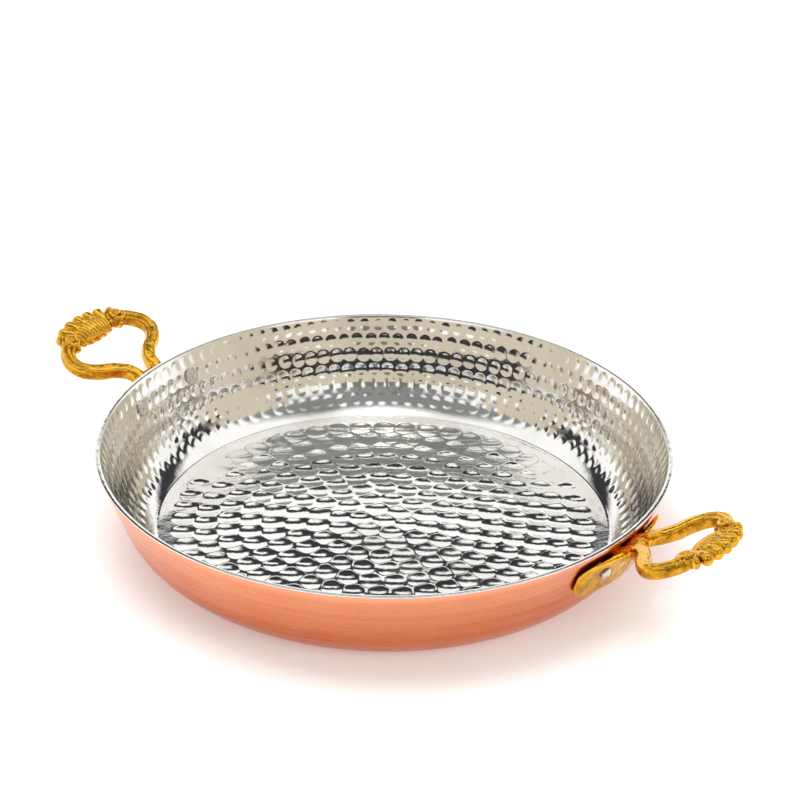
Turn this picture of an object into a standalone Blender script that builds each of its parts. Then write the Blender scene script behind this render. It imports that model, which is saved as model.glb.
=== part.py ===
"""A round copper frying pan with a tinned inside and two cast brass loop handles, each held by two rivets.

The pan stands on z = 0 with its axis on Z, and the handles lie along +X and -X. Lengths are in metres.
"""

import math

import bmesh
import bpy
from mathutils import Matrix, Vector

# Pan, measured on the outer skin
RIM_RADIUS = 0.130
PAN_HEIGHT = 0.0432
WALL_SLANT = math.radians(21.8)
HEEL_RADIUS = 0.0327
BASE_BREAK = math.radians(26.8)
KNUCKLE_RADIUS = 0.006
BASE_DOME_RADIUS = 0.085
BASE_DOME_RISE = 0.0022
COPPER_THICKNESS = 0.0012
RIM_BAND_TOP = 0.0013
RIM_BAND_BOTTOM = 0.0040
RIM_BAND_PROUD = 0.0003

# Tin coat, a thin shell of its own that turns over the rim
TIN_THICKNESS = 0.0005
TIN_EDGE_RADIUS = 0.0002

# Fits
SEAT_GAP = 0.0003
HOLE_CLEARANCE = 0.0003
CUT_OVERRUN = 0.004
WELD_DISTANCE = 0.00001

# Rivets: half the angle between a handle's two, how far round the rim their middle lies from the handle's,
# and how far down the wall they are
RIVET_ANGLE = math.radians(9.0)
RIVET_SHIFT = math.radians(1.1)
RIVET_DROP = 0.0120
RIVET_SHANK_RADIUS = 0.00225
RIVET_INNER_HEAD_RADIUS = 0.0039
RIVET_INNER_HEAD_HEIGHT = 0.0009
RIVET_INNER_EDGE_RADIUS = 0.0003
RIVET_OUTER_HEAD_RADIUS = 0.0028
RIVET_OUTER_HEAD_HEIGHT = 0.0013

# Handle plate, bent round the wall
PLATE_LENGTH = 0.0670
PLATE_TOP_DROP = 0.0045
PLATE_BOTTOM_DROP = 0.0240
PLATE_THICKNESS = 0.0046
PLATE_END_THICKNESS = 0.0020
PLATE_CORNER_RADIUS = 0.0085
PLATE_EDGE_RADIUS = 0.0007
PLATE_TOP_RELIEF = 0.0022
PLATE_END_RELIEF = 0.0006

# Handle loop, in a plane that rises outwards from a line below the rim
LOOP_RISE = math.radians(19.0)
LOOP_DROP = 0.0065
LOOP_REACH = 0.0425
LOOP_HALF_WIDTH = 0.0268
NECK_HALF_WIDTH = 0.0070
LEG_ROOT_DROP = 0.0090
LEG_ROOT_DEPTH = 0.0020
BAR_WIDTH = 0.0068
BAR_HEIGHT = 0.0070

# Right half of the bar's section, from its underside to its middle rib: shares of half its width and height
BAR_SECTION_SHARES = (
    (0.45, -0.93),
    (0.86, -0.60),
    (1.00, 0.00),
    (0.88, 0.62),
    (0.66, 0.82),
    (0.44, 0.56),
    (0.20, 0.92),
)

# Centre line of half the loop: share of the reach, share of the way from neck to side, share of the section
LOOP_CENTRE_SHARES = (
    (0.20, 0.01, 0.90),
    (0.35, 0.28, 0.98),
    (0.46, 0.72, 0.98),
    (0.63, 0.99, 1.00),
    (0.81, 0.87, 1.00),
    (0.93, 0.46, 0.96),
)

# Shell at the middle of the loop, ribbed from its inner to its outer edge
SHELL_WIDTH = 0.0285
SHELL_DEPTH = 0.0195
SHELL_THICKNESS = 0.0082
SHELL_RIBS = 5
SHELL_RIB_DEPTH = 0.0021
SHELL_END_SHARE = 0.60
SHELL_FAN_SHARE = 0.15

# Scroll on each side of the shell
SCROLL_RADIUS = 0.0042
SCROLL_REACH_SHARE = 0.93
SCROLL_SIDE_SHARE = 0.50
SCROLL_HEIGHT = 0.0036
SCROLL_FOOT_SHARE = 0.30
SCROLL_WIRE_RADIUS = 0.0009
SCROLL_EYE_RADIUS = 0.0013
SCROLL_TURNS = 0.95

# Facet counts
PAN_STEPS = 56
HEEL_STEPS = 5
KNUCKLE_STEPS = 2
DOME_STEPS = 3
EDGE_STEPS = 2
RIVET_STEPS = 14
RIVET_DOME_STEPS = 4
CUTTER_SIDES = 14
PLATE_COLUMNS = 14
PLATE_ROWS = 6
LOOP_STEPS = 3
SHELL_STEPS = 12
SHELL_RIB_STEPS = 4
SCROLL_STEPS = 10
SCROLL_SIDES = 12
SCROLL_EYE_STEPS = 2

SQUARE_TURN = math.pi / 2
HALF_TURN = math.pi


def clear_scene():
    for obj in list(bpy.data.objects):
        bpy.data.objects.remove(obj, do_unlink=True)


def new_collection(name):
    collection = bpy.data.collections.new(name)
    bpy.context.scene.collection.children.link(collection)
    return collection


def new_material(name, colour, roughness, metallic):
    material = bpy.data.materials.new(name)
    material.use_nodes = True
    shader = material.node_tree.nodes["Principled BSDF"]
    shader.inputs["Base Color"].default_value = (*colour, 1.0)
    shader.inputs["Roughness"].default_value = roughness
    shader.inputs["Metallic"].default_value = metallic
    return material


def new_object(name, data, collection, material=None):
    obj = bpy.data.objects.new(name, data)
    collection.objects.link(obj)
    if material:
        data.materials.append(material)
    return obj


def hide_guide(obj):
    obj.hide_render = True
    obj.display_type = "WIRE"
    return obj


def shade_round(mesh):
    mesh.shade_smooth()
    mesh.set_sharp_from_angle(angle=math.radians(35.0))


def arc(centre, radius, start, end, steps):
    """Points on an arc in the plane of a profile, from angle start to angle end."""
    angles = [start + (end - start) * i / steps for i in range(steps + 1)]
    return [(centre[0] + radius * math.cos(a), centre[1] + radius * math.sin(a)) for a in angles]


def turned(name, profile, steps, collection, material=None):
    """A solid turned about Z. Its profile starts and ends on the axis and runs down its outer side."""
    mesh = bpy.data.meshes.new(name)
    shape = bmesh.new()
    points = [shape.verts.new((radius, 0.0, height)) for radius, height in profile]
    for first, second in zip(points, points[1:]):
        shape.edges.new((first, second))
    shape.to_mesh(mesh)
    shape.free()
    obj = new_object(name, mesh, collection, material)
    screw = obj.modifiers.new("Turn", "SCREW")
    screw.steps = steps
    screw.render_steps = steps
    screw.use_merge_vertices = True
    screw.merge_threshold = WELD_DISTANCE
    screw.use_smooth_shade = True
    return obj


def baked_mesh(obj):
    """The mesh of an object with its modifiers or its curve applied, and its caps welded on."""
    bpy.context.view_layer.update()
    evaluated = obj.evaluated_get(bpy.context.evaluated_depsgraph_get())
    mesh = bpy.data.meshes.new_from_object(evaluated)
    shape = bmesh.new()
    shape.from_mesh(mesh)
    bmesh.ops.remove_doubles(shape, verts=shape.verts, dist=WELD_DISTANCE)
    bmesh.ops.recalc_face_normals(shape, faces=shape.faces)
    shape.to_mesh(mesh)
    shape.free()
    return mesh


def baked(obj, collection):
    """A mesh object in the place of a curve or of a modified object, which is removed."""
    name, matrix = obj.name, obj.matrix_world.copy()
    mesh = baked_mesh(obj)
    bpy.data.objects.remove(obj, do_unlink=True)
    result = new_object(name, mesh, collection)
    result.matrix_world = matrix
    return result


def combine(obj, other, operation):
    """Adds a Boolean that joins another object, or all of a collection, to this one or cuts it out."""
    modifier = obj.modifiers.new(other.name, "BOOLEAN")
    modifier.operation = operation
    modifier.solver = "EXACT"
    if isinstance(other, bpy.types.Collection):
        modifier.operand_type = "COLLECTION"
        modifier.collection = other
    else:
        modifier.object = other


# The pan's skin

def wall_point(drop, proud):
    """Radius and height of a point this far down the wall, and this far outside the outer skin."""
    radius = RIM_RADIUS - drop * math.sin(WALL_SLANT) + proud * math.cos(WALL_SLANT)
    height = PAN_HEIGHT - drop * math.cos(WALL_SLANT) - proud * math.sin(WALL_SLANT)
    return radius, height


def drop_at_height(height, proud):
    """How far down the wall a line that stands this far outside the outer skin reaches this height."""
    return (PAN_HEIGHT - height - proud * math.sin(WALL_SLANT)) / math.cos(WALL_SLANT)


def heel_centre():
    """Centre of the large arc between wall and base."""
    centre_height = HEEL_RADIUS * math.cos(BASE_BREAK)
    wall_end = drop_at_height(centre_height - HEEL_RADIUS * math.sin(WALL_SLANT), 0.0)
    radius, _ = wall_point(wall_end, -HEEL_RADIUS)
    return radius, centre_height


def knuckle_centre():
    """Centre of the small arc that rounds the edge of the base."""
    heel_x, heel_z = heel_centre()
    reach = HEEL_RADIUS - KNUCKLE_RADIUS
    sideways = math.sqrt(reach**2 - (heel_z - KNUCKLE_RADIUS) ** 2)
    return heel_x + sideways, KNUCKLE_RADIUS


def skin_below_rim(depth):
    """The pan's skin this deep inside the outer one, from the foot of the straight wall to the axis."""
    heel_x, heel_z = heel_centre()
    knuckle_x, knuckle_z = knuckle_centre()
    meeting = math.atan2(knuckle_z - heel_z, knuckle_x - heel_x)
    points = arc((heel_x, heel_z), HEEL_RADIUS - depth, -WALL_SLANT, meeting, HEEL_STEPS)
    points += arc((knuckle_x, knuckle_z), KNUCKLE_RADIUS - depth, meeting, -SQUARE_TURN, KNUCKLE_STEPS)[1:]
    for i in range(DOME_STEPS + 1):
        share = i / DOME_STEPS
        rise = BASE_DOME_RISE * (1.0 - math.cos(HALF_TURN * share)) / 2.0
        points.append((BASE_DOME_RADIUS * (1.0 - share), depth + rise))
    return points


def copper_profile():
    """From the axis along the inside to the rim, and down the outside, with the band below the rim."""
    inside = skin_below_rim(COPPER_THICKNESS)[::-1]
    top = PAN_HEIGHT - TIN_THICKNESS - SEAT_GAP
    rim_inside = wall_point(drop_at_height(top, -COPPER_THICKNESS), -COPPER_THICKNESS)
    rim_outside = wall_point(drop_at_height(top, 0.0), 0.0)
    band = [
        wall_point(RIM_BAND_TOP, RIM_BAND_PROUD),
        wall_point(RIM_BAND_BOTTOM - RIM_BAND_PROUD, RIM_BAND_PROUD),
        wall_point(RIM_BAND_BOTTOM, 0.0),
    ]
    return inside + [rim_inside, rim_outside] + band + skin_below_rim(0.0)


def tin_profile():
    """The coat's inner face up to the rim, its lip over the copper, and its outer face down to the axis."""
    outer_depth = COPPER_THICKNESS + SEAT_GAP
    inner_depth = outer_depth + TIN_THICKNESS
    inside = skin_below_rim(inner_depth)[::-1]
    outside = skin_below_rim(outer_depth)
    edge = TIN_EDGE_RADIUS
    lip_bottom = PAN_HEIGHT - TIN_THICKNESS
    inner_edge = wall_point(drop_at_height(PAN_HEIGHT, -inner_depth), -inner_depth)
    inner_round = arc((inner_edge[0] + edge, PAN_HEIGHT - edge), edge, HALF_TURN, SQUARE_TURN, EDGE_STEPS)
    outer_round = arc((RIM_RADIUS - edge, PAN_HEIGHT - edge), edge, SQUARE_TURN, 0.0, EDGE_STEPS)
    lip = [(RIM_RADIUS, lip_bottom), wall_point(drop_at_height(lip_bottom, -outer_depth), -outer_depth)]
    return inside + inner_round + outer_round + lip + outside


# Rivets

def rivet_angle(side):
    """A rivet's angle from the middle of its handle."""
    return side * RIVET_ANGLE + RIVET_SHIFT


def rivet_frame(side):
    """Place of a rivet of the handle at +X: its origin on the outer skin, its Z square to the wall."""
    radius, height = wall_point(RIVET_DROP, 0.0)
    angle = rivet_angle(side)
    place = Vector((radius * math.cos(angle), radius * math.sin(angle), height))
    normal = Vector((
        math.cos(WALL_SLANT) * math.cos(angle),
        math.cos(WALL_SLANT) * math.sin(angle),
        -math.sin(WALL_SLANT),
    ))
    return Matrix.Translation(place) @ normal.to_track_quat("Z", "Y").to_matrix().to_4x4()


def facet_sag():
    """How far the middle of one of the pan's facets lies inside its true round."""
    return RIM_RADIUS * (1.0 - math.cos(HALF_TURN / PAN_STEPS))


def inner_seat():
    """Distance from the outer skin to the underside of the inner head, inwards."""
    return COPPER_THICKNESS + SEAT_GAP + TIN_THICKNESS + facet_sag() + SEAT_GAP


def outer_seat(side):
    """Distance from the outer skin to the underside of the outer head, outwards."""
    thickest = plate_thickness(RIM_RADIUS * abs(rivet_angle(side)) - RIVET_OUTER_HEAD_RADIUS)
    return SEAT_GAP + thickest + SEAT_GAP


def rivet_profile(side):
    """Domed outer head, shank and flat inner head, from the outer end to the inner one."""
    head_radius, head_height = RIVET_OUTER_HEAD_RADIUS, RIVET_OUTER_HEAD_HEIGHT
    dome_radius = (head_radius**2 + head_height**2) / (2.0 * head_height)
    dome_angle = math.asin(head_radius / dome_radius)
    seat = outer_seat(side)
    top = seat + head_height
    dome_end = SQUARE_TURN - dome_angle
    dome = arc((0.0, top - dome_radius), dome_radius, SQUARE_TURN, dome_end, RIVET_DOME_STEPS)
    dome[0] = (0.0, top)
    edge = RIVET_INNER_EDGE_RADIUS
    end = -inner_seat() - RIVET_INNER_HEAD_HEIGHT
    rounded = arc((RIVET_INNER_HEAD_RADIUS - edge, end + edge), edge, 0.0, -SQUARE_TURN, EDGE_STEPS)
    shank = [(RIVET_SHANK_RADIUS, seat), (RIVET_SHANK_RADIUS, -inner_seat())]
    return dome + shank + [(RIVET_INNER_HEAD_RADIUS, -inner_seat())] + rounded + [(0.0, end)]


def hole_cutter(name, side, cutters):
    """A cylinder on a rivet's axis, longer than all that the rivet passes through."""
    inner_end = -inner_seat() - CUT_OVERRUN
    outer_end = outer_seat(side) + CUT_OVERRUN
    half_side = Matrix.Rotation(HALF_TURN / CUTTER_SIDES, 4, "Z")
    shape = bmesh.new()
    bmesh.ops.create_cone(
        shape,
        cap_ends=True,
        segments=CUTTER_SIDES,
        radius1=RIVET_SHANK_RADIUS + HOLE_CLEARANCE,
        radius2=RIVET_SHANK_RADIUS + HOLE_CLEARANCE,
        depth=outer_end - inner_end,
        matrix=Matrix.Translation((0.0, 0.0, (outer_end + inner_end) / 2.0)) @ half_side,
    )
    mesh = bpy.data.meshes.new(name)
    shape.to_mesh(mesh)
    shape.free()
    cutter = hide_guide(new_object(name, mesh, cutters))
    cutter.matrix_world = rivet_frame(side)
    return cutter


# Handle plate

def plate_half_length(across):
    """Half the plate's length at this distance above or below its middle, with its corners rounded."""
    half_height = (PLATE_BOTTOM_DROP - PLATE_TOP_DROP) / 2.0
    into_corner = max(0.0, abs(across) - (half_height - PLATE_CORNER_RADIUS))
    rounding = PLATE_CORNER_RADIUS - math.sqrt(max(0.0, PLATE_CORNER_RADIUS**2 - into_corner**2))
    return PLATE_LENGTH / 2.0 - rounding


def plate_thickness(along):
    """The plate thins from its middle to its ends, measured below its top relief."""
    share = 2.0 * along / PLATE_LENGTH
    return PLATE_THICKNESS + (PLATE_END_THICKNESS - PLATE_THICKNESS) * share**2


def plate_drop(across):
    """How far down the wall a point lies that is this far below the plate's middle."""
    return (PLATE_TOP_DROP + PLATE_BOTTOM_DROP) / 2.0 + across


def plate_top_relief(across):
    """How much the plate's back is cut away above the rivets, towards its top edge."""
    above_rivets = max(0.0, RIVET_DROP - plate_drop(across)) / (RIVET_DROP - PLATE_TOP_DROP)
    return PLATE_TOP_RELIEF * above_rivets**2


def plate_point(along, across):
    """A point on the plate's back, which follows the wall and stands off it at its top edge and ends."""
    farther_rivet = RIM_RADIUS * (RIVET_ANGLE + abs(RIVET_SHIFT))
    past_rivets = max(0.0, abs(along) - farther_rivet) / (PLATE_LENGTH / 2.0 - farther_rivet)
    relief = plate_top_relief(across) + PLATE_END_RELIEF * past_rivets**2
    radius, height = wall_point(plate_drop(across), SEAT_GAP + relief)
    angle = along / RIM_RADIUS
    return Vector((radius * math.cos(angle), radius * math.sin(angle), height))


def plate(cutters):
    """The riveted plate: a sheet with rounded corners, bent to the wall and thickened outwards."""
    half_height = (PLATE_BOTTOM_DROP - PLATE_TOP_DROP) / 2.0
    shape = bmesh.new()
    bmesh.ops.create_grid(shape, x_segments=PLATE_COLUMNS, y_segments=PLATE_ROWS, size=1.0)
    thickness_shares = []
    for vert in shape.verts:
        across = -half_height * math.sin(SQUARE_TURN * vert.co.y)
        along = vert.co.x * plate_half_length(across)
        thickness = plate_thickness(along) - plate_top_relief(across)
        thickness_shares.append(thickness / PLATE_THICKNESS)
        vert.co = plate_point(along, across)
    bmesh.ops.recalc_face_normals(shape, faces=shape.faces)
    if sum((face.normal.x for face in shape.faces), 0.0) < 0.0:
        bmesh.ops.reverse_faces(shape, faces=shape.faces)
    mesh = bpy.data.meshes.new("plate")
    shape.to_mesh(mesh)
    shape.free()
    obj = new_object("plate", mesh, cutters)
    group = obj.vertex_groups.new(name="thickness")
    for index, share in enumerate(thickness_shares):
        group.add([index], share, "REPLACE")
    thick = obj.modifiers.new("Thickness", "SOLIDIFY")
    thick.thickness = PLATE_THICKNESS
    thick.offset = 1.0
    thick.vertex_group = group.name
    edge = obj.modifiers.new("Edge", "BEVEL")
    edge.width = PLATE_EDGE_RADIUS
    edge.segments = 1
    edge.limit_method = "ANGLE"
    edge.angle_limit = math.radians(50.0)
    return hide_guide(baked(obj, cutters))


# Handle loop

def loop_frame():
    """The loop's plane: X runs outwards from below the rim, Y runs sideways, Z is square to both."""
    place = Matrix.Translation((RIM_RADIUS, 0.0, PAN_HEIGHT - LOOP_DROP))
    return place @ Matrix.Rotation(-LOOP_RISE, 4, "Y")


def bar_section(cutters):
    """The bar's section: round below, with two flutes beside a middle rib on top."""
    right = [(BAR_WIDTH / 2.0 * across, BAR_HEIGHT / 2.0 * up) for across, up in BAR_SECTION_SHARES]
    outline = right + [(-across, up) for across, up in right[::-1]]
    curve = bpy.data.curves.new("bar_section", "CURVE")
    curve.dimensions = "2D"
    spline = curve.splines.new("POLY")
    spline.points.add(len(outline) - 1)
    for point, (across, up) in zip(spline.points, outline):
        point.co = (across, up, 0.0, 1.0)
    spline.use_cyclic_u = True
    return hide_guide(new_object("bar_section", curve, cutters))


def loop_centre_line():
    """Places and section shares along the loop, from one leg's root round to the other's."""
    frame = loop_frame()
    radius, height = wall_point(LEG_ROOT_DROP, -LEG_ROOT_DEPTH)
    half = [(Vector((radius, NECK_HALF_WIDTH, height)), LOOP_CENTRE_SHARES[0][2])]
    for reach_share, side_share, section_share in LOOP_CENTRE_SHARES:
        side = NECK_HALF_WIDTH + side_share * (LOOP_HALF_WIDTH - NECK_HALF_WIDTH)
        half.append((frame @ Vector((reach_share * LOOP_REACH, side, 0.0)), section_share))
    middle = (frame @ Vector((LOOP_REACH, 0.0, 0.0)), LOOP_CENTRE_SHARES[-1][2])
    other = [(Vector((place.x, -place.y, place.z)), share) for place, share in half]
    return half + [middle] + other[::-1]


def loop_bar(cutters):
    """The fluted bar, swept along the loop with its flutes upwards."""
    curve = bpy.data.curves.new("loop_bar", "CURVE")
    curve.dimensions = "3D"
    curve.twist_mode = "Z_UP"
    curve.resolution_u = LOOP_STEPS
    curve.bevel_mode = "OBJECT"
    curve.bevel_object = bar_section(cutters)
    curve.use_fill_caps = True
    spline = curve.splines.new("BEZIER")
    line = loop_centre_line()
    spline.bezier_points.add(len(line) - 1)
    for point, (place, share) in zip(spline.bezier_points, line):
        point.co = place
        point.radius = share
        point.handle_left_type = "AUTO"
        point.handle_right_type = "AUTO"
    return baked(new_object("loop_bar", curve, cutters), cutters)


def wall_trim(cutters):
    """What trims the legs to the wall: the pan's own slope, let out past the band below the rim."""
    proud = RIM_BAND_PROUD + SEAT_GAP
    top = wall_point(-CUT_OVERRUN, proud)
    bottom = wall_point(PLATE_BOTTOM_DROP + CUT_OVERRUN, proud)
    profile = [(0.0, top[1]), top, bottom, (0.0, bottom[1])]
    return hide_guide(turned("wall_trim", profile, PAN_STEPS, cutters))


# Shell and scrolls

def shell_profile():
    """Half the shell's depth along its width, ribbed, from one end to the other."""
    half_width = SHELL_WIDTH / 2.0
    count = SHELL_RIBS * SHELL_RIB_STEPS
    points = [(0.0, half_width)]
    for i in range(count + 1):
        share = i / count
        bulge = SHELL_END_SHARE + (1.0 - SHELL_END_SHARE) * math.sin(HALF_TURN * share)
        groove = SHELL_RIB_DEPTH * (1.0 - abs(math.sin(HALF_TURN * SHELL_RIBS * share)))
        points.append((bulge * SHELL_DEPTH / 2.0 - groove, half_width * (1.0 - 2.0 * share)))
    return points + [(0.0, -half_width)]


def shell(cutters):
    """The ribbed shell: a turned spindle laid across the loop, flattened, and fanned outwards."""
    obj = turned("shell", shell_profile(), SHELL_STEPS, cutters)
    mesh = baked_mesh(obj)
    bpy.data.objects.remove(obj, do_unlink=True)
    middle = loop_frame() @ Matrix.Translation((LOOP_REACH, 0.0, 0.0))
    half_depth = SHELL_DEPTH / 2.0
    for vert in mesh.vertices:
        outward, upward, sideways = vert.co
        fan = 1.0 + SHELL_FAN_SHARE * outward / half_depth
        vert.co = middle @ Vector((outward, -sideways * fan, upward * SHELL_THICKNESS / SHELL_DEPTH))
    return hide_guide(new_object("shell", mesh, cutters))


def scroll_frame(side):
    """The middle of a scroll, with Z square to the loop's plane."""
    reach = SCROLL_REACH_SHARE * LOOP_REACH
    sideways = side * (NECK_HALF_WIDTH + SCROLL_SIDE_SHARE * (LOOP_HALF_WIDTH - NECK_HALF_WIDTH))
    return loop_frame() @ Matrix.Translation((reach, sideways, 0.0))


def scroll_boss(side, cutters):
    """The turned boss that a scroll is wound on, with an eye at its middle."""
    eye = arc((0.0, SCROLL_HEIGHT), SCROLL_EYE_RADIUS, SQUARE_TURN, 0.0, SCROLL_EYE_STEPS)
    eye[0] = (0.0, SCROLL_HEIGHT + SCROLL_EYE_RADIUS)
    bottom = -BAR_HEIGHT * SCROLL_FOOT_SHARE
    wire = SCROLL_WIRE_RADIUS
    rim = [(SCROLL_RADIUS - wire, SCROLL_HEIGHT), (SCROLL_RADIUS, SCROLL_HEIGHT - wire)]
    foot = [(SCROLL_RADIUS, bottom), (0.0, bottom)]
    boss = turned(f"scroll_boss_{side}", eye + rim + foot, SCROLL_SIDES, cutters)
    boss.matrix_world = scroll_frame(side)
    return hide_guide(boss)


def scroll_wire(side, cutters):
    """The wire of a scroll: a spiral that winds inwards on top of its boss."""
    curve = bpy.data.curves.new(f"scroll_wire_{side}", "CURVE")
    curve.dimensions = "3D"
    curve.bevel_depth = SCROLL_WIRE_RADIUS
    curve.bevel_resolution = 1
    curve.use_fill_caps = True
    spline = curve.splines.new("POLY")
    spline.points.add(SCROLL_STEPS)
    outer = SCROLL_RADIUS - SCROLL_WIRE_RADIUS
    inner = SCROLL_EYE_RADIUS + SCROLL_WIRE_RADIUS
    for i, point in enumerate(spline.points):
        share = i / SCROLL_STEPS
        radius = outer + (inner - outer) * share
        angle = SQUARE_TURN + 2.0 * HALF_TURN * SCROLL_TURNS * share
        point.co = (radius * math.cos(angle), side * radius * math.sin(angle), SCROLL_HEIGHT, 1.0)
    wire = new_object(f"scroll_wire_{side}", curve, cutters)
    wire.matrix_world = scroll_frame(side)
    return hide_guide(baked(wire, cutters))


def handle_mesh(cutters, rivet_cutters):
    """The whole casting, with its rivet holes."""
    joined = bpy.data.collections.new("handle_pieces")
    cutters.children.link(joined)
    plate(joined)
    shell(joined)
    for side in (-1, 1):
        scroll_boss(side, joined)
        scroll_wire(side, joined)
    casting = loop_bar(cutters)
    combine(casting, wall_trim(cutters), "DIFFERENCE")
    combine(casting, joined, "UNION")
    for cutter in rivet_cutters:
        combine(casting, cutter, "DIFFERENCE")
    mesh = baked_mesh(casting)
    shade_round(mesh)
    bpy.data.objects.remove(casting, do_unlink=True)
    return mesh


def build():
    clear_scene()
    parts = new_collection("frying_pan")
    cutters = new_collection("cutters")
    copper = new_material("copper", (0.86, 0.36, 0.19), 0.30, 1.0)
    tin = new_material("tin", (0.72, 0.70, 0.66), 0.22, 1.0)
    brass = new_material("brass", (0.86, 0.58, 0.16), 0.25, 1.0)
    rivet_metal = new_material("rivet_metal", (0.66, 0.64, 0.62), 0.35, 1.0)

    pan_body = turned("pan_body", copper_profile(), PAN_STEPS, parts, copper)
    tin_lining = turned("tin_lining", tin_profile(), PAN_STEPS, parts, tin)

    rivet_cutters = [hole_cutter(f"rivet_hole_{side}", side, cutters) for side in (-1, 1)]
    casting = handle_mesh(cutters, rivet_cutters)
    casting.materials.clear()
    casting.materials.append(brass)

    for name, turn in (("right", 0.0), ("left", HALF_TURN)):
        seat = bpy.data.objects.new(f"seat_{name}", None)
        parts.objects.link(seat)
        seat.rotation_euler = (0.0, 0.0, turn)
        handle = bpy.data.objects.new(f"handle_{name}", casting)
        parts.objects.link(handle)
        handle.parent = seat
        for side in (-1, 1):
            facing_front = (side < 0) == (name == "right")
            place = "front" if facing_front else "back"
            rivet = turned(f"rivet_{name}_{place}", rivet_profile(side), RIVET_STEPS, parts, rivet_metal)
            rivet.parent = seat
            rivet.matrix_local = rivet_frame(side)
            cut = hole_cutter(f"wall_hole_{name}_{place}", side, cutters)
            cut.parent = seat
            combine(pan_body, cut, "DIFFERENCE")
            combine(tin_lining, cut, "DIFFERENCE")


build()
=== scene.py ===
"""Builds the finished look of a hammered copper frying pan with a tinned inside and cast brass handles."""

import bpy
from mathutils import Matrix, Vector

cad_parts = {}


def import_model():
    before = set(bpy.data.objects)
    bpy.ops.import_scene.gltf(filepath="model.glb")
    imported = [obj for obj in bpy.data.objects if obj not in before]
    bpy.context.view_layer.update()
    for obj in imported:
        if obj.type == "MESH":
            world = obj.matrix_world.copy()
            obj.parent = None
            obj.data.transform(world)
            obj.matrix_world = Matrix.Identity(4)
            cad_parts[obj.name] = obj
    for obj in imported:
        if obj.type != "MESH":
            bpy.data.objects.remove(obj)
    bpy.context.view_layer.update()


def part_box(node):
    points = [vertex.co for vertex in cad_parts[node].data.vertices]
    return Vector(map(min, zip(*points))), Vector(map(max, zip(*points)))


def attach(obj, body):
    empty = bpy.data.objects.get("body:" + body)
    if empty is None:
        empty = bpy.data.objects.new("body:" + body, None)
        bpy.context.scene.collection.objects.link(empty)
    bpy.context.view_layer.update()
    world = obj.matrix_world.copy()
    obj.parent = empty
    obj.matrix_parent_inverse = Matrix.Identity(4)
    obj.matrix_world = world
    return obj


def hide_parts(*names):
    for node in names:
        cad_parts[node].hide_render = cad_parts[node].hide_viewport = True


bl_info = {
    "name": "Hammered Copper Frying Pan",
    "version": (1, 0, 0),
    "blender": (4, 5, 0),
    "location": "3D View > Sidebar > Frying Pan",
    "description": "Builds a hammered copper pan with a tinned inside and cast brass loop handles",
    "category": "Add Mesh",
}

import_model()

import math

import bmesh
import bpy
import numpy as np
from bpy.props import FloatProperty, FloatVectorProperty, IntProperty, PointerProperty
from mathutils import Matrix, Vector, noise

BODY = "root"
FULL_TURN = 2.0 * math.pi
HALF_TURN = math.pi
SQUARE_TURN = math.pi / 2.0
MERGE_DISTANCE = 0.000001


# Settings

def length(name, description, default):
    return FloatProperty(name=name, description=description, default=default, unit="LENGTH", precision=5)


def angle(name, description, degrees):
    return FloatProperty(name=name, description=description, default=math.radians(degrees), subtype="ANGLE")


def share(name, description, default):
    return FloatProperty(name=name, description=description, default=default, min=0.0, soft_max=1.0)


def number(name, description, default):
    return FloatProperty(name=name, description=description, default=default)


def count(name, description, default):
    return IntProperty(name=name, description=description, default=default, min=1)


def colour(name, description, default):
    return FloatVectorProperty(
        name=name, description=description, default=default, subtype="COLOR", size=3, min=0.0, soft_max=1.0
    )


class PanSizes(bpy.types.PropertyGroup):
    """Sizes of the copper pan and its tin coat."""

    rim_radius: length("Rim radius", "From the axis to the rim's outer edge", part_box("tin_lining")[1].x)
    height: length("Height", "From the base to the top of the rim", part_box("tin_lining")[1].z)
    slant: angle("Wall slant", "Lean of the wall, from upright", 21.8)
    heel_radius: length("Heel radius", "Radius of the large curve between wall and base", 0.0327)
    base_break: angle("Base break", "Angle at which the heel's curve would meet the base", 26.8)
    knuckle_radius: length("Knuckle radius", "Radius of the small curve at the base's edge", 0.006)
    dome_radius: length("Dome radius", "How far out the raised middle of the base reaches", 0.085)
    dome_rise: length("Dome rise", "How far the middle of the base is raised", 0.0022)
    copper: length("Copper thickness", "Thickness of the copper", 0.0012)
    tin: length("Tin thickness", "Thickness of the tin coat", 0.0005)
    gap: length("Gap", "Gap between copper and tin", 0.0003)
    band_top: length("Band top", "Where the band below the rim starts, down the wall", 0.0013)
    band_bottom: length("Band bottom", "Where the band below the rim ends, down the wall", 0.0040)
    band_proud: length("Band height", "How far the band stands off the wall", 0.0003)
    lip_rounding: length("Lip rounding", "Radius of the edges of the tin lip", 0.00022)
    wall_crown: length("Wall crown", "How far the inside of the straight wall bulges inwards", 0.00046)


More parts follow.
